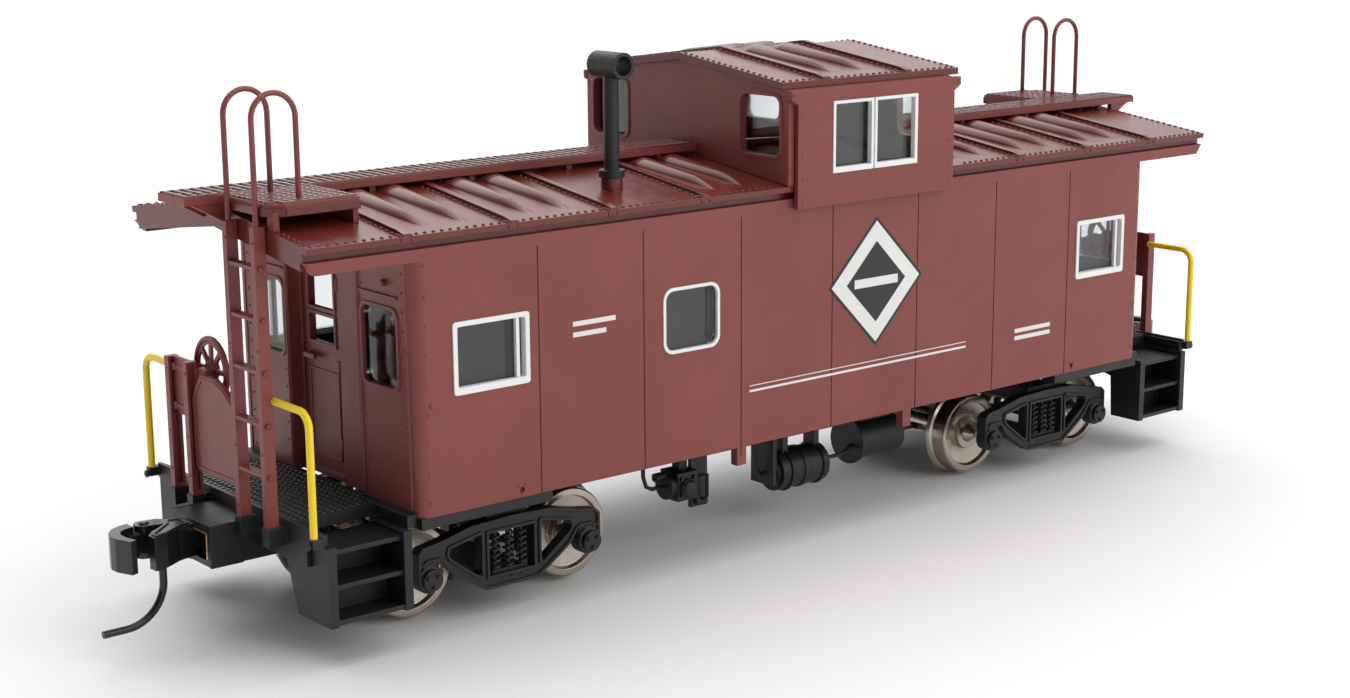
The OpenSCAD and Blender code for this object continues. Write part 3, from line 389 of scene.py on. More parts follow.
def tube(bm, path, r, segs=10, closed=False):
    """Round bar along a path of points."""
    pts = [Vector(p) for p in path]
    count = len(pts)
    side = None
    verts = []
    for i, p in enumerate(pts):
        before = pts[i - 1] if (i or closed) else pts[i]
        after = pts[(i + 1) % count] if (i < count - 1 or closed) else pts[i]
        t = (after - before).normalized()
        side = t.orthogonal().normalized() if side is None else (side - t * side.dot(t)).normalized()
        verts += [p + spoke * r for spoke in circle(side, t.cross(side), segs)]
    place(bm, verts, ring_faces(count, segs, closed))


def lathe(bm, centre, axis, outline, segs=24):
    """Solid of revolution: outline is (distance along axis, radius), from one end to the other."""
    n, side, up = across(axis)
    c = Vector(centre)
    verts = [c + n * d + spoke * r for d, r in outline for spoke in circle(side, up, segs)]
    place(bm, verts, ring_faces(len(outline), segs))


def strip(bm, path, sunk, width, height, up):
    """Flat bar along a path on a flat face with outward normal up: it is sunk into the face and stands
    height above it. A path that ends where it began is closed."""
    n = Vector(up).normalized()
    pts = [Vector(p) for p in path]
    closed = (pts[0] - pts[-1]).length < 1e-6
    if closed:
        pts = pts[:-1]
    count = len(pts)
    inner, outer = [], []
    for i, p in enumerate(pts):
        before = (p - pts[i - 1]).normalized() if (i or closed) else None
        after = (pts[(i + 1) % count] - p).normalized() if (i < count - 1 or closed) else None
        before = before or after
        after = after or before
        na, nb = n.cross(before), n.cross(after)
        m = (na + nb).normalized()
        reach = width / 2 / max(0.35, m.dot(na))
        inner.append(p + m * reach)
        outer.append(p - m * reach)
    low, high = n * -sunk, n * height
    verts = []
    for a, b in zip(inner, outer):
        verts += [a + low, b + low, b + high, a + high]
    place(bm, verts, ring_faces(count, 4, closed))


def half_turn(bm, verts):
    """Turns verts half a turn about Z, from end a to end b."""
    bmesh.ops.rotate(bm, verts=verts, cent=(0, 0, 0), matrix=Matrix.Rotation(math.pi, 3, "Z"))


def both_ends(bm):
    """Adds a copy of everything so far, turned half a turn about Z."""
    copied = bmesh.ops.duplicate(bm, geom=bm.verts[:] + bm.edges[:] + bm.faces[:])
    half_turn(bm, [g for g in copied["geom"] if isinstance(g, bmesh.types.BMVert)])


def mirrored_y(bm):
    """Adds a copy of everything so far, mirrored across the car."""
    copied = bmesh.ops.duplicate(bm, geom=bm.verts[:] + bm.edges[:] + bm.faces[:])
    verts = [g for g in copied["geom"] if isinstance(g, bmesh.types.BMVert)]
    faces = [g for g in copied["geom"] if isinstance(g, bmesh.types.BMFace)]
    bmesh.ops.scale(bm, verts=verts, vec=(1, -1, 1))
    bmesh.ops.reverse_faces(bm, faces=faces)


def linked(name, bm, mat):
    """Turns a mesh drawn in millimetres into an object of the scene."""
    bm.transform(Matrix.Scale(MM, 4))
    mesh = bpy.data.meshes.new(name)
    bm.to_mesh(mesh)
    bm.free()
    mesh.materials.append(mat)
    obj = bpy.data.objects.new(name, mesh)
    bpy.context.scene.collection.objects.link(obj)
    return obj


def piece(name, bm, mat, body="car_body", smooth=30, bevel=0.0):
    """Finishes a mesh drawn in millimetres: normals, scale, material, slot, and the body it rides on."""
    bmesh.ops.recalc_face_normals(bm, faces=bm.faces[:])
    obj = linked(name, bm, mat)
    mesh = obj.data
    mesh.shade_smooth()
    mesh.set_sharp_from_angle(angle=math.radians(smooth))
    if bevel:
        rounded = obj.modifiers.new("rounded", "BEVEL")
        rounded.width = bevel * MM
        rounded.segments = 2
        rounded.limit_method = "ANGLE"
        rounded.angle_limit = math.radians(40)
    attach(obj, body)
    return obj


def spaced(a, b, step):
    """Evenly spaced values from a to b, about step apart."""
    count = max(1, round((b - a) / step))
    return [a + (b - a) * k / count for k in range(count + 1)]


# ---------------------------------------------------------------- roof rivets and pressed ribs

RIVET_R = 0.2
RIVET_H = 0.16
RIVET_STEP = 0.95
BESIDE_BATTEN = 0.68
BATTEN_CLEAR = 0.55


def slope_normal(y):
    return (0, math.copysign(PITCH, y), 1)


def roof_rivets():
    """Rivets along the eaves, beside each batten and at the roof's ends, and the battens' lower ends."""
    bm = bmesh.new()
    for x in spaced(-ROOF_X + 0.6, ROOF_X - 0.6, RIVET_STEP):
        if cup_lo.x - 1 < x < cup_hi.x + 1 or min(abs(x - b) for b in BATTENS) < BATTEN_CLEAR:
            continue
        for s in (-1, 1):
            y = s * (EAVE_Y - 0.5)
            dome(bm, (x, y, roof_z(y)), slope_normal(y), RIVET_R, RIVET_H)
    for b in BATTENS:
        for y in spaced(2.6, EAVE_Y - 1.4, RIVET_STEP):
            for s in (-1, 1):
                for side in (-BESIDE_BATTEN, BESIDE_BATTEN):
                    dome(bm, (b + side, s * y, roof_z(y)), slope_normal(s), RIVET_R, RIVET_H)
    for x in (-ROOF_X + 0.5, ROOF_X - 0.5):
        for y in spaced(3.2, EAVE_Y - 1.3, RIVET_STEP):
            for s in (-1, 1):
                dome(bm, (x, s * y, roof_z(y)), slope_normal(s), RIVET_R, RIVET_H)
    for b in BATTENS:
        for s in (-1, 1):
            for x in (b - BATTEN_CLEAR, b + BATTEN_CLEAR):
                tube(bm, [(x, s * (EAVE_Y - 0.9), EAVE_Z + 0.1), (x, s * (EAVE_Y - 0.12), EAVE_Z + 0.06),
                          (x, s * (EAVE_Y - 0.02), EAVE_Z - 0.5)], 0.16, 8)
    return piece("roof_rivets", bm, roof_oxide_shaded, smooth=60)


def cupola_rivets():
    bm = bmesh.new()
    for x in spaced(cup_lo.x + 0.6, cup_hi.x - 0.6, RIVET_STEP):
        if min(abs(x - b) for b in CUP_BATTENS) < BATTEN_CLEAR:
            continue
        for s in (-1, 1):
            y = s * (CUP_ROOF_Y - 0.5)
            dome(bm, (x, y, cup_z(y)), slope_normal(y), RIVET_R, RIVET_H)
    rows = [cup_lo.x + 0.5, cup_hi.x - 0.5]
    rows += [b + side for b in CUP_BATTENS for side in (-BESIDE_BATTEN, BESIDE_BATTEN)]
    for y in spaced(0.5, CUP_ROOF_Y - 1.3, RIVET_STEP):
        for s in (-1, 1):
            for x in rows:
                dome(bm, (x, s * y, cup_z(y)), slope_normal(s), RIVET_R, RIVET_H)
    return piece("cupola_roof_rivets", bm, roof_oxide_shaded, smooth=60)


def pressed_rib(bm, x, s, y0, y1, height_at):
    """Stamped rib down the roof slope from y0 to y1: full near the ridge, narrowing towards the eave."""
    w0, w1, h = 1.9, 0.4, 0.72
    rows, cols = 22, 8
    row = cols + 1
    verts = []
    for i in range(rows + 1):
        t = i / rows
        y = y0 + (y1 - y0) * t
        fade = min(1.0, t / 0.06) * min(1.0, (1 - t) / 0.34)
        fade = fade * fade * (3 - 2 * fade)
        w = w0 + (w1 - w0) * t
        for k in range(cols + 1):
            u = -1 + 2 * k / cols
            crown = math.cos(u * math.pi / 2) ** 0.7 if u < 0 else math.cos(u * math.pi / 2) ** 1.6
            verts.append((x + u * w, s * y, height_at(y) - 0.02 + h * fade * crown))
    under = len(verts)
    low0, low1 = height_at(y0) - 0.1, height_at(y1) - 0.1
    verts += [(x - w0, s * y0, low0), (x + w0, s * y0, low0), (x + w1, s * y1, low1), (x - w1, s * y1, low1)]
    faces = [(i * row + k, i * row + k + 1, (i + 1) * row + k + 1, (i + 1) * row + k)
             for i in range(rows) for k in range(cols)]
    first = range(row)
    last = range(rows * row, (rows + 1) * row)
    left = range(0, (rows + 1) * row, row)
    right = range(cols, (rows + 1) * row, row)
    faces += [(under, under + 1, under + 2, under + 3), (*first, under + 1, under),
              (*last, under + 2, under + 3), (*left, under + 3, under), (*right, under + 2, under + 1)]
    place(bm, verts, faces)


def roof_ribs():
    """Two ribs on each slope of every panel, apart from the one that the smokejack stands on."""
    bm = bmesh.new()
    panels = [(a, b) for a, b in zip(BATTENS, BATTENS[1:])
              if b - a < PANEL_W + 1 and not a < SMOKEJACK_X < b]
    panels += [(BATTENS[3], shell_lo.x), (shell_hi.x, BATTENS[4])]
    runs = [(a, b, 2.0, EAVE_Y - 1.5, roof_z) for a, b in panels]
    runs.append((*CUP_BATTENS, 0.6, CUP_ROOF_Y - 1.6, cup_z))
    for a, b, y0, y1, height_at in runs:
        for share in (0.3, 0.66):
            for s in (-1, 1):
                pressed_rib(bm, a + (b - a) * share, s, y0, y1, height_at)
    return piece("roof_pressed_ribs", bm, roof_oxide_shaded, smooth=50)


# ---------------------------------------------------------------- treads


def board_tread(name, x0, x1, s, side):
    """Open-grid tread of a running board from x0 to x1, at end s, with its lateral platform on that side."""
    bm = bmesh.new()
    low = BOARD_TOP - 0.05
    corner_x, corner_y = 1.6, 1.4
    in_x, out_x = LATERAL_X
    for x in spaced(x0 + 0.4, x1 - 0.4, 1.05):
        frustum(bm, (x - 0.24, -BOARD_HALF_W, low), (x + 0.24, BOARD_HALF_W, BOARD_TOP + 0.2), 0.08)
    for y in (-2.45, 0.0, 2.45):
        frustum(bm, (x0 + 0.1, y - 0.14, low), (x1 - 0.1, y + 0.14, BOARD_TOP + 0.16), 0.04)
    for x in spaced(in_x + 0.4, out_x - 0.5, TREAD_STEP):
        cut = max(0.0, corner_x - (out_x - x)) * 0.9
        a, b = sorted((side * 3.0, side * (LATERAL_Y - 0.25 - cut)))
        frustum(bm, (s * x - 0.2, a, low), (s * x + 0.2, b, BOARD_TOP + 0.17), 0.07)
    for y in spaced(3.3, LATERAL_Y - 0.4, TREAD_STEP):
        cut = max(0.0, y - LATERAL_Y + corner_y) * 1.1
        a, b = sorted((s * (in_x + 0.15), s * (out_x - 0.25 - cut)))
        frustum(bm, (a, side * y - 0.2, low), (b, side * y + 0.2, BOARD_TOP + 0.2), 0.07)
    lip = [(in_x, LATERAL_Y), (out_x - corner_x, LATERAL_Y), (out_x, LATERAL_Y - corner_y), (out_x, 3.2)]
    for (ax, ay), (bx, by) in zip(lip, lip[1:]):
        path = [(s * x, side * y, BOARD_TOP - 0.7) for x, y in ((ax, ay), (bx, by))]
        strip(bm, path, 0.45, 0.3, 0.35, (0, 0, 1))
    return piece(name, bm, roof_oxide_shaded, smooth=25)


def deck_tread():
    """Raised squares on both end platforms."""
    bm = bmesh.new()
    step, half = 0.86, 0.31
    for x in spaced(-64.0, -54.9, step):
        for y in spaced(-10.0, 10.0, step):
            frustum(bm, (x - half, y - half, DECK_Z - 0.04), (x + half, y + half, DECK_Z + 0.14), 0.07)
    both_ends(bm)
    return piece("deck_tread", bm, black, smooth=25)


# ---------------------------------------------------------------- body trim


def loop_yz(x, y0, z0, y1, z1):
    """Closed rectangle across the car, from corner (y0, z0) to (y1, z1)."""
    return [(x, y0, z0), (x, y1, z0), (x, y1, z1), (x, y0, z1), (x, y0, z0)]


def door_trim():
    """Beads round the door lights and the lower panel, and the hinges."""
    bm = bmesh.new()
    x = DOOR_X
    for z0, z1 in ((30.6, 35.2), (27.0, 30.1)):
        strip(bm, loop_yz(x, -0.4, z0, 4.8, z1), 0.1, 0.36, 0.16, (-1, 0, 0))
    strip(bm, loop_yz(x, -0.7, 15.2, 4.9, 24.2), 0.1, 0.28, 0.12, (-1, 0, 0))
    for z in (17.0, 25.0, 33.5):
        lathe(bm, (x - 0.12, -1.25, z - 0.7), (0, 0, 1), [(0, 0.2), (0, 0.26), (1.4, 0.26), (1.4, 0.2)], 12)
        slab(bm, (x - 0.08, -1.2, z - 0.6), (x + 0.02, -0.4, z + 0.6))
    both_ends(bm)
    return piece("door_trim", bm, oxide, bevel=0.04)


def end_wall_trim():
    """Raised posts beside the door recess, drip strip over the windows, marker sockets and rivets."""
    bm = bmesh.new()
    x = -HALF_L
    foot, head = 13.6, 39.2
    for s in (-1, 1):
        tube(bm, [(x + 0.05, s * 6.95, foot), (x + 0.05, s * 6.95, head)], 0.3, 12)
        tube(bm, [(x + 0.1, s * 15.6, foot), (x + 0.1, s * 15.6, head)], 0.22, 12)
        slab(bm, (x - 0.2, s * 10.8 - 3.4, 34.1), (x + 0.05, s * 10.8 + 3.4, 34.35))
        for z in spaced(14.2, 38.6, 1.9):
            dome(bm, (x, s * 7.75, z), (-1, 0, 0), 0.16, 0.1)
            dome(bm, (x, s * 14.9, z), (-1, 0, 0), 0.16, 0.1)
        lathe(bm, (x - 0.5, s * 12, 35.5), (1, 0, 0), [(0, 0.28), (0.1, 0.34), (0.5, 0.34), (0.6, 0.3)], 14)
    both_ends(bm)
    return piece("end_wall_trim", bm, oxide, bevel=0.04)


def side_trim():
    """Small rivets at the ends of the sides and by the trucks, and one lug."""
    bm = bmesh.new()
    for z in spaced(14.4, 37.6, 2.9):
        for x in (-53.0, 53.0):
            dome(bm, (x, -HALF_W, z), (0, -1, 0), 0.13, 0.07)
    for x in (-42.2, 41.3):
        for dx, dz in ((-0.45, 0.35), (0.45, 0.35), (0.0, -0.45)):
            dome(bm, (x + dx, -HALF_W, 13.85 + dz), (0, -1, 0), 0.14, 0.1)
    dome(bm, (-52.5, -HALF_W, 24.0), (0, -1, 0), 0.36, 0.16, 10)
    both_ends(bm)
    return piece("side_rivets", bm, oxide, smooth=60)


def cupola_trim():
    """Small rivets round the cupola's side panels."""
    bm = bmesh.new()
    for x in (PANEL_X[0] + 0.7, PANEL_X[1] - 0.7):
        for z in spaced(39.2, 48.4, 2.3):
            dome(bm, (x, -PANEL_Y, z), (0, -1, 0), 0.13, 0.07)
    for x in spaced(PANEL_X[0] + 0.7, PANEL_X[1] - 0.7, 3.3):
        dome(bm, (x, -PANEL_Y, 38.8), (0, -1, 0), 0.12, 0.06)
    for x in (PANEL_X[0] - 0.6, PANEL_X[1] + 0.6):
        dome(bm, (x, -PANEL_Y, 50.45), (0, -1, 0), 0.22, 0.12)
    mirrored_y(bm)
    return piece("cupola_rivets", bm, oxide, smooth=60)


# ---------------------------------------------------------------- plain markings


def side_markings():
    """Generic painted markings: a plain lozenge, a pinstripe and short bars, on each side."""
    light, dark = bmesh.new(), bmesh.new()
    mark_x, mark_z = 7.0, 28.7

    def lozenge(bm, r, proud):
        corners = [(mark_x + dx * r, mark_z + dz * r) for dx, dz in ((1, 0), (0, 1), (-1, 0), (0, -1))]
        verts = [(x, -HALF_W + depth, z) for depth in (0.05, -proud) for x, z in corners]
        place(bm, verts, BOX_FACES)

    def bar(x, z, length, height, proud=0.03):
        slab(light, (x, -HALF_W - proud, z), (x + length, -HALF_W + 0.02, z + height))

    lozenge(dark, 7.4, 0.015)
    lozenge(light, 6.9, 0.03)
    lozenge(dark, 4.6, 0.045)
    bar(mark_x - 3.4, mark_z - 0.5, 6.8, 1.0, 0.06)
    bar(-12.0, 18.9, 34.0, 0.25)
    bar(-12.0, 19.55, 34.0, 0.1)
    for z in (19.4, 18.5):
        bar(30.6, z, 6.4, 0.5)
    for z, length in ((29.4, 5.4), (28.3, 4.2)):
        bar(-35.6, z, length, 0.5)
    both_ends(light)
    both_ends(dark)
    piece("white_markings", light, decal, smooth=25)
    piece("dark_markings", dark, decal_dark, smooth=25)


# ---------------------------------------------------------------- trucks

# Half of the side frame's outline, from its middle, and the window beside the springs, as (x, z)
SIDE = [(0, 10.1), (5, 9.9), (8.4, 9.1), (10.8, 8.7), (11.3, 8.2), (11.3, 5.9), (10.8, 5.6), (10.7, 7.0),
        (10.4, 7.3), (8.9, 7.3), (8.3, 7.0), (7.6, 5.9), (6.6, 5.1), (3.3, 2.9)]
WINDOW = [(3.7, 8.6), (3.7, 4.6), (4.1, 4.5), (7.3, 6.9), (7.6, 7.5), (7.4, 8.1), (3.9, 8.8)]


def truck_trim(name, x0, body):
    """Flanges round the cast side frames and their openings, bearing rings and bolts."""
    bm = bmesh.new()
    y = SIDE_FRAME_Y

    def flange(points, width, height):
        """Raised edge along a closed outline of (x, z) about the truck's middle."""
        strip(bm, [(x0 + x, y, z) for x, z in [*points, points[0]]], 0.1, width, height, (0, -1, 0))

    outline = SIDE + [(-x, z) for x, z in reversed(SIDE[1:])]
    mid_z = 6.4
    flange([(x * 0.985, mid_z + (z - mid_z) * 0.97) for x, z in outline], 0.32, 0.22)
    window_x = sum(x for x, z in WINDOW) / len(WINDOW)
    window_z = sum(z for x, z in WINDOW) / len(WINDOW)
    grow = 1.09
    window = [(window_x + (x - window_x) * grow, window_z + (z - window_z) * grow) for x, z in WINDOW]
    for m in (-1, 1):
        flange([(m * x, z) for x, z in window], 0.3, 0.2)
    flange([(-2.95, 4.05), (2.95, 4.05), (2.95, 8.85), (-2.95, 8.85)], 0.3, 0.2)
    for m in (-1, 1):
        c = x0 + m * HALF_BASE
        lathe(bm, (c, y + 0.05, AXLE_Z), (0, -1, 0), [(0, 1.3), (0.1, 1.42), (0.22, 1.42), (0.3, 1.25)], 28)
        slab(bm, (c - 1.25, y - 0.12, AXLE_Z + 1.3), (c + 1.25, y + 0.1, AXLE_Z + 1.7))
        for dx in (-0.95, 0.95):
            dome(bm, (c + dx, y - 0.12, AXLE_Z + 1.55), (0, -1, 0), 0.17, 0.12)
    slab(bm, (x0 - 1.9, y + 0.15, 8.9), (x0 + 1.9, y + 0.9, 9.5))
    for dx in (-1.2, 0, 1.2):
        dome(bm, (x0 + dx, y, 3.8), (0, -1, 0), 0.2, 0.12)
    slab(bm, (x0 - 2.2, y + 0.3, 4.2), (x0 + 2.2, y + 0.5, 4.55))
    mirrored_y(bm)
    return piece(name, bm, black, body, bevel=0.05)


def brake_gear(name, x0, body):
    """Brake shoes just clear of the treads, their heads, and a beam across the truck for each wheelset."""
    bm = bmesh.new()
    shoe_r = (5.05, 5.6)
    shoe_y = (8.35, 9.75)
    mid_y = sum(shoe_y) / 2
    for m in (-1, 1):
        c = x0 + m * HALF_BASE
        head_x, beam_x = c - m * 5.9, c - m * 6.1
        for s in (-1, 1):
            verts = []
            for k in range(9):
                a = math.radians(-24 + 6 * k)
                verts += [(c - m * r * math.cos(a), s * y, r * math.sin(a) + AXLE_Z)
                          for y, r in ((shoe_y[0], shoe_r[0]), (shoe_y[0], shoe_r[1]),
                                       (shoe_y[1], shoe_r[1]), (shoe_y[1], shoe_r[0]))]
            place(bm, verts, ring_faces(9, 4))
            slab(bm, (head_x - 0.35, s * mid_y - 0.35, AXLE_Z - 1.0),
                 (head_x + 0.35, s * mid_y + 0.35, AXLE_Z + 3.4))
        tube(bm, [(beam_x, -9.0, AXLE_Z - 0.4), (beam_x, 9.0, AXLE_Z - 0.4)], 0.32, 10)
    return piece(name, bm, black, body, bevel=0.05)


def coil_springs(name, x0, body, replaced):
    """Three coils with a core each, moulded in both side frames, in place of the CAD's plain columns."""
    bm = bmesh.new()
    z0, z1 = 4.25, 8.66
    turns, wire, r = 6.5, 0.15, 0.5
    steps = int(turns * 14)
    rise = z1 - z0 - 2 * wire
    core = [(0, 0.2), (0, 0.26), (z1 - z0, 0.26), (z1 - z0, 0.2)]
    for y in (-12.9, 12.9):
        for x in (x0 - 1.65, x0, x0 + 1.65):
            path = []
            for k in range(steps + 1):
                a = 2 * math.pi * turns * k / steps
                path.append((x + r * math.cos(a), y + r * math.sin(a), z0 + wire + rise * k / steps))
            tube(bm, path, wire, 6)
            lathe(bm, (x, y, z0), (0, 0, 1), core, 10)
    made = piece(name, bm, black, body, smooth=60)
    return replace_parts(made, replaced)


# ---------------------------------------------------------------- underbody and end fittings


def tank_trim():
    """Bands, end bosses, pipes and hanger plate of the air tank, and the bolts along its middle."""
    bm = bmesh.new()
    y, z = BRAKE_Y, 6.2
    spokes = circle(Vector((0, 1, 0)), Vector((0, 0, 1)), 32)
    for x in (0.5, 5.4):
        tube(bm, [Vector((x, y, z)) + spoke * 2.38 for spoke in spokes], 0.18, 8, closed=True)
    lathe(bm, (6.8, y, z), (1, 0, 0), [(0, 0.5), (0, 0.55), (0.5, 0.45), (0.5, 0.3)], 16)
    lathe(bm, (-1.4, y, z), (-1, 0, 0), [(0, 0.5), (0, 0.55), (0.4, 0.45), (0.4, 0.3)], 16)
    tube(bm, [(-1.7, y, z), (-2.6, y, z), (-3.2, y, z + 0.6), (-3.6, y, z + 3.0),
              (-3.6, y, FLOOR_Z)], PIPE_R)
    tube(bm, [(7.0, y, z), (10.0, y, z), (11.4, y + 0.3, z + 0.2), (13.0, y + 1.2, z + 0.4)], PIPE_R)
    slab(bm, (-2.3, y - 1.9, z - 1.2), (-1.75, y + 1.9, FLOOR_Z))
    for x in spaced(-0.4, 5.8, 1.24):
        dome(bm, (x, y - 2.28, z), (0, -1, 0), 0.14, 0.1)
    return piece("air_tank_bands_and_pipes", bm, black, smooth=50)


def valve_trim():
    """Bolts and cover of the control valve, and its pipes."""
    bm = bmesh.new()
    x, y, z = -14.75, BRAKE_Y, 7.4
    bolt = [(0, 0.2), (0, 0.28), (0.3, 0.28), (0.3, 0.2)]
    for dx, dz in ((-0.9, 0.9), (0.9, 0.9), (-0.9, -0.9), (0.9, -0.9)):
        lathe(bm, (x + dx, y - 1.55, z + dz), (0, -1, 0), bolt, 6)
    cover = [(0, 0.9), (0.1, 1.0), (0.35, 0.85), (0.45, 0.5)]
    lathe(bm, (x - 0.05, y - 1.9, z - 0.2), (0, -1, 0), cover, 20)
    tube(bm, [(-16.9, y, z), (-18.6, y, z), (-19.4, y, z + 0.4), (-19.8, y, 9.0),
              (-19.8, y, FLOOR_Z)], PIPE_R)
    drain_x = -12.2
    tube(bm, [(drain_x, y - 0.9, 5.4), (drain_x, y - 1.5, 5.4), (drain_x, y - 1.9, 5.9),
              (drain_x, y - 1.9, 8.4)], 0.2)
    tube(bm, [(-11.2, y + 0.3, 9.9), (12.0, y + 0.3, 9.9)], 0.2)
    return piece("valve_bolts_and_pipes", bm, black, smooth=50)


def end_fittings():
    """Hinges and latch of the gate, the brake staff with its bracket, and bolt heads on posts and stiles."""
    bm = bmesh.new()
    for y in POSTS:
        for z in (15.0, 19.0, 25.4):
            dome(bm, (RAIL_X, y - 0.12, z), (-1, 0, 0), 0.16, 0.1)
    x = GATE_X
    for z in (21.6, 25.6):
        lathe(bm, (x, 8.5, z - 0.4), (0, 0, 1), [(0, 0.2), (0, 0.28), (0.8, 0.28), (0.8, 0.2)], 12)
        slab(bm, (x - 0.1, 6.0, z - 0.2), (x + 0.1, 8.6, z + 0.2))
    arch = [(-3.7, 16.0), (4.8, 16.0), (4.8, 23.0), (3.0, 25.2), (0.3, 25.2), (-1.3, 24.7), (-3.7, 23.1),
            (-3.7, 16.0)]
    strip(bm, [(x, y, z) for y, z in arch], 0.1, 0.3, 0.1, (-1, 0, 0))
    tube(bm, [(STAFF_X, STAFF_Y, 22.7), (STAFF_X, STAFF_Y, 15.8)], 0.26)
    lathe(bm, (STAFF_X, STAFF_Y, 17.4), (0, 0, 1), [(0, 0.3), (0, 0.45), (0.6, 0.45), (0.6, 0.3)], 14)
    hub = [(-0.1, 0.6), (0.0, 0.6), (0.2, 0.45), (0.3, 0.2)]
    lathe(bm, (STAFF_X + 1.1, STAFF_Y, 25.8), (1, 0, 0), hub, 16)
    for y in STILES:
        for z in (14.2, 20.2, 30.2, 40.4):
            dome(bm, (RAIL_X, y, z), (-1, 0, 0), 0.15, 0.1)
    for z in RUNGS:
        for y, side in ((STILES[0] + 0.4, 1), (STILES[1] - 0.4, -1)):
            lathe(bm, (x - 0.1, y, z), (0, side, 0), [(-0.1, 0.3), (0, 0.3), (0.22, 0.26), (0.3, 0.12)], 12)
    both_ends(bm)
    return piece("end_railing_fittings", bm, oxide, bevel=0.04)


def draft_box_trim():
    """Ribs on the top and bottom edges of the draft box, and the round bosses on the end beam."""
    bm = bmesh.new()
    boss = [(-0.1, 0.35), (0, 0.4), (0.2, 0.38), (0.28, 0.2)]
    for s in (-1, 1):
        slab(bm, (BOX_MOUTH_X, s * 4.0 - 0.1, 11.9), (BOX_BACK_X, s * 4.0 + 0.1, 12.45))
        slab(bm, (BOX_MOUTH_X, s * 3.8 - 0.22, 8.12), (BOX_BACK_X, s * 3.8 + 0.22, 8.32))
        lathe(bm, (-66.05, s * 16.5, 12.65), (-1, 0, 0), boss, 14)
    both_ends(bm)
    return piece("draft_box_ribs", bm, black, bevel=0.06)


def spring_lips():
    """Bright edges of the bronze centring leaves, seen round the mouth of each draft box."""
    bm = bmesh.new()
    path = [(BOX_MOUTH_X, y, z) for y, z in ((3.25, 8.9), (3.25, 11.5), (-3.25, 11.5), (-3.25, 8.9))]
    strip(bm, path, 0.1, 0.16, 0.08, (-1, 0, 0))
    both_ends(bm)
    return piece("spring_leaf_edges", bm, bronze, smooth=25)


def coupler_trim(name, s, body):
    """Pin heads and cast ribs on the top and bottom of a coupler head."""
    bm = bmesh.new()
    rib = [(-70.4, 0.9), (-71.6, 1.2), (-72.0, 0.2), (-73.2, -0.85), (-74.8, -2.3), (-74.7, -2.9),
           (-73.6, -2.5), (-71.8, -1.4), (-70.4, -0.95), (-70.4, 0.9)]
    for z, up in ((12.22, 1), (8.92, -1)):
        lathe(bm, (-73.75, 1.8, z), (0, 0, up), [(-0.1, 0.5), (0.0, 0.52), (0.16, 0.44), (0.22, 0.2)], 20)
        strip(bm, [(x, y, z) for x, y in rib], 0.08, 0.26, 0.12, (0, 0, up))
    if s > 0:
        half_turn(bm, bm.verts[:])
    return piece(name, bm, black_gloss, body, bevel=0.04)


for letter, s in (("a", -1), ("b", 1)):
    coupler_trim(f"coupler_{letter}_ribs", s, f"coupler_{letter}")
roof_rivets()
cupola_rivets()
roof_ribs()
board_tread("running_board_tread_a", -BOARD_X, shell_lo.x - 0.5, -1, -1)
board_tread("running_board_tread_b", shell_hi.x + 0.5, BOARD_X, 1, 1)
deck_tread()
door_trim()
end_wall_trim()
side_trim()
cupola_trim()
side_markings()
for letter, x in (("a", -TRUCK_X), ("b", TRUCK_X)):
    truck_trim(f"truck_{letter}_flanges", x, f"truck_{letter}")
    brake_gear(f"truck_{letter}_brake_gear", x, f"truck_{letter}")
    coil_springs(f"truck_{letter}_coil_springs", x, f"truck_{letter}", f"truck_springs_{letter}")
tank_trim()
valve_trim()
end_fittings()
draft_box_trim()
spring_lips()

# ---------------------------------------------------------------- camera, floor and lights


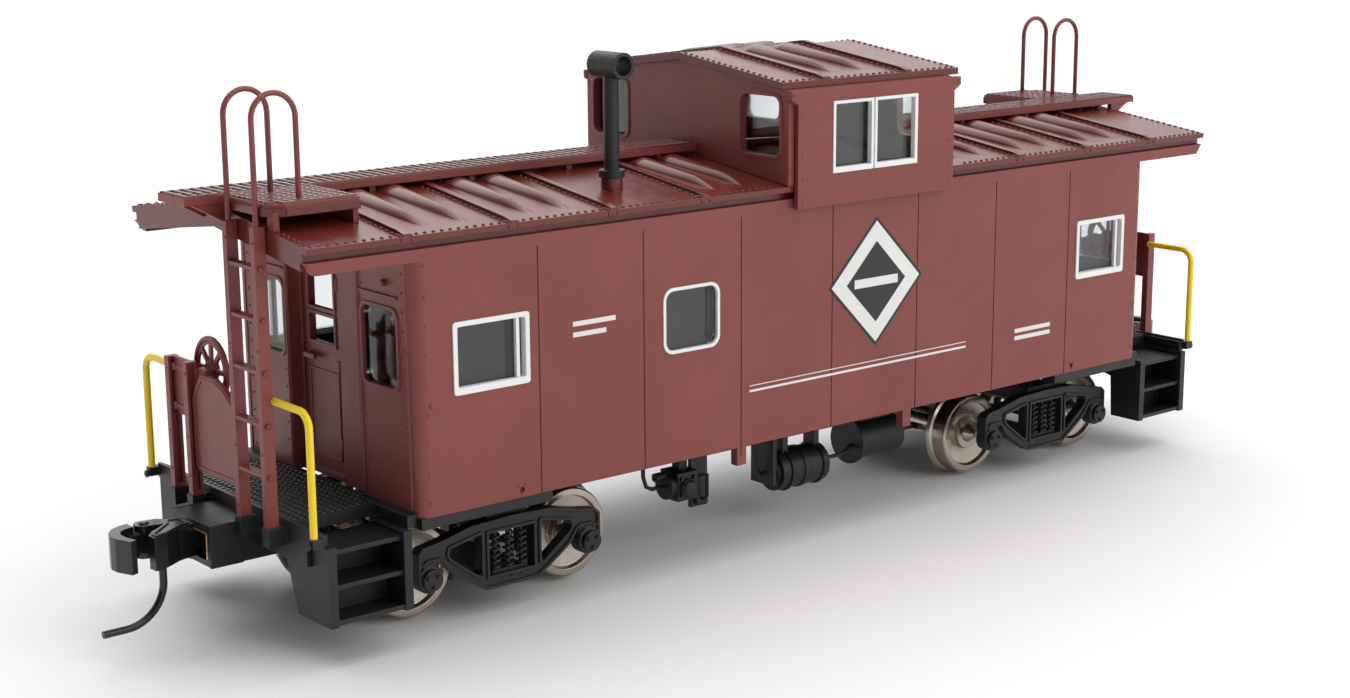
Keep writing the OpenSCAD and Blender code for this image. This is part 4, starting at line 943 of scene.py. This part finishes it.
def camera():
    """Looks at end a and the -Y side, from a little above the roof."""
    yaw, pitch, roll = math.radians(39.69), math.radians(12.52), math.radians(-0.33)
    place_mm = Vector((-160.80, -183.99, 73.34))
    forward = Vector((math.sin(yaw) * math.cos(pitch), math.cos(yaw) * math.cos(pitch), -math.sin(pitch)))
    right = Vector((math.cos(yaw), -math.sin(yaw), 0))
    up = right.cross(forward)
    turned_right = right * math.cos(roll) + up * math.sin(roll)
    turned_up = up * math.cos(roll) - right * math.sin(roll)
    data = bpy.data.cameras.new("camera")
    data.sensor_width = 36
    data.lens = 56.93
    data.clip_start, data.clip_end = 0.01, 20
    obj = bpy.data.objects.new("camera", data)
    bpy.context.scene.collection.objects.link(obj)
    rows = [[turned_right[i], turned_up[i], -forward[i], 0] for i in range(3)] + [[0, 0, 0, 1]]
    obj.matrix_world = Matrix.Translation(place_mm * MM) @ Matrix(rows)
    bpy.context.scene.camera = obj


def floor():
    """Plain pale paper, 12 m across."""
    mat, tree, bsdf = new_material("floor_paper")
    coords = node(tree, "ShaderNodeTexCoord").outputs["Object"]
    paper = noise(tree, coords, 60.0, 3.0)
    tone = mix_colour(tree, paper, rgba((0.86, 0.86, 0.86)), rgba((0.89, 0.89, 0.89)))
    tree.links.new(tone, bsdf.inputs["Base Color"])
    bsdf.inputs["Roughness"].default_value = 0.8
    half = 6000
    bm = bmesh.new()
    place(bm, [(-half, -half, 0), (half, -half, 0), (half, half, 0), (-half, half, 0)], [(0, 1, 2, 3)])
    linked("floor", bm, mat)


def area_light(name, at, target, size, power):
    data = bpy.data.lights.new(name, "AREA")
    data.shape = "RECTANGLE"
    data.size, data.size_y = size
    data.energy = power
    obj = bpy.data.objects.new(name, data)
    bpy.context.scene.collection.objects.link(obj)
    obj.location = at
    obj.rotation_mode = "QUATERNION"
    obj.rotation_quaternion = (Vector(target) - Vector(at)).to_track_quat("-Z", "Y")


def lights():
    """Two soft boxes, and a pale surround that is brightest behind the car and towards end b."""
    world = bpy.data.worlds.new("studio")
    world.use_nodes = True
    tree = world.node_tree
    background = tree.nodes["Background"]
    direction = node(tree, "ShaderNodeTexCoord").outputs["Generated"]
    split = node(tree, "ShaderNodeSeparateXYZ")
    tree.links.new(direction, split.inputs[0])
    from_right = remap(tree, split.outputs["X"], -0.6, 0.3, 0.06, 0.55)
    backdrop = remap(tree, split.outputs["Y"], 0.1, 0.8, 0.0, 0.75)
    tree.links.new(maths(tree, "ADD", from_right, backdrop), background.inputs["Strength"])
    background.inputs["Color"].default_value = (1.0, 1.0, 1.0, 1)
    bpy.context.scene.world = world
    area_light("overhead", (0.5, 0.4, 1.6), (0.3, 0.3, 0.0), (3.0, 3.0), 38.0)
    area_light("front", (0.25, -0.75, 0.45), (0, 0, 0.02), (0.8, 0.5), 2.6)


camera()
floor()
lights()
bpy.context.scene.view_settings.view_transform = "Standard"
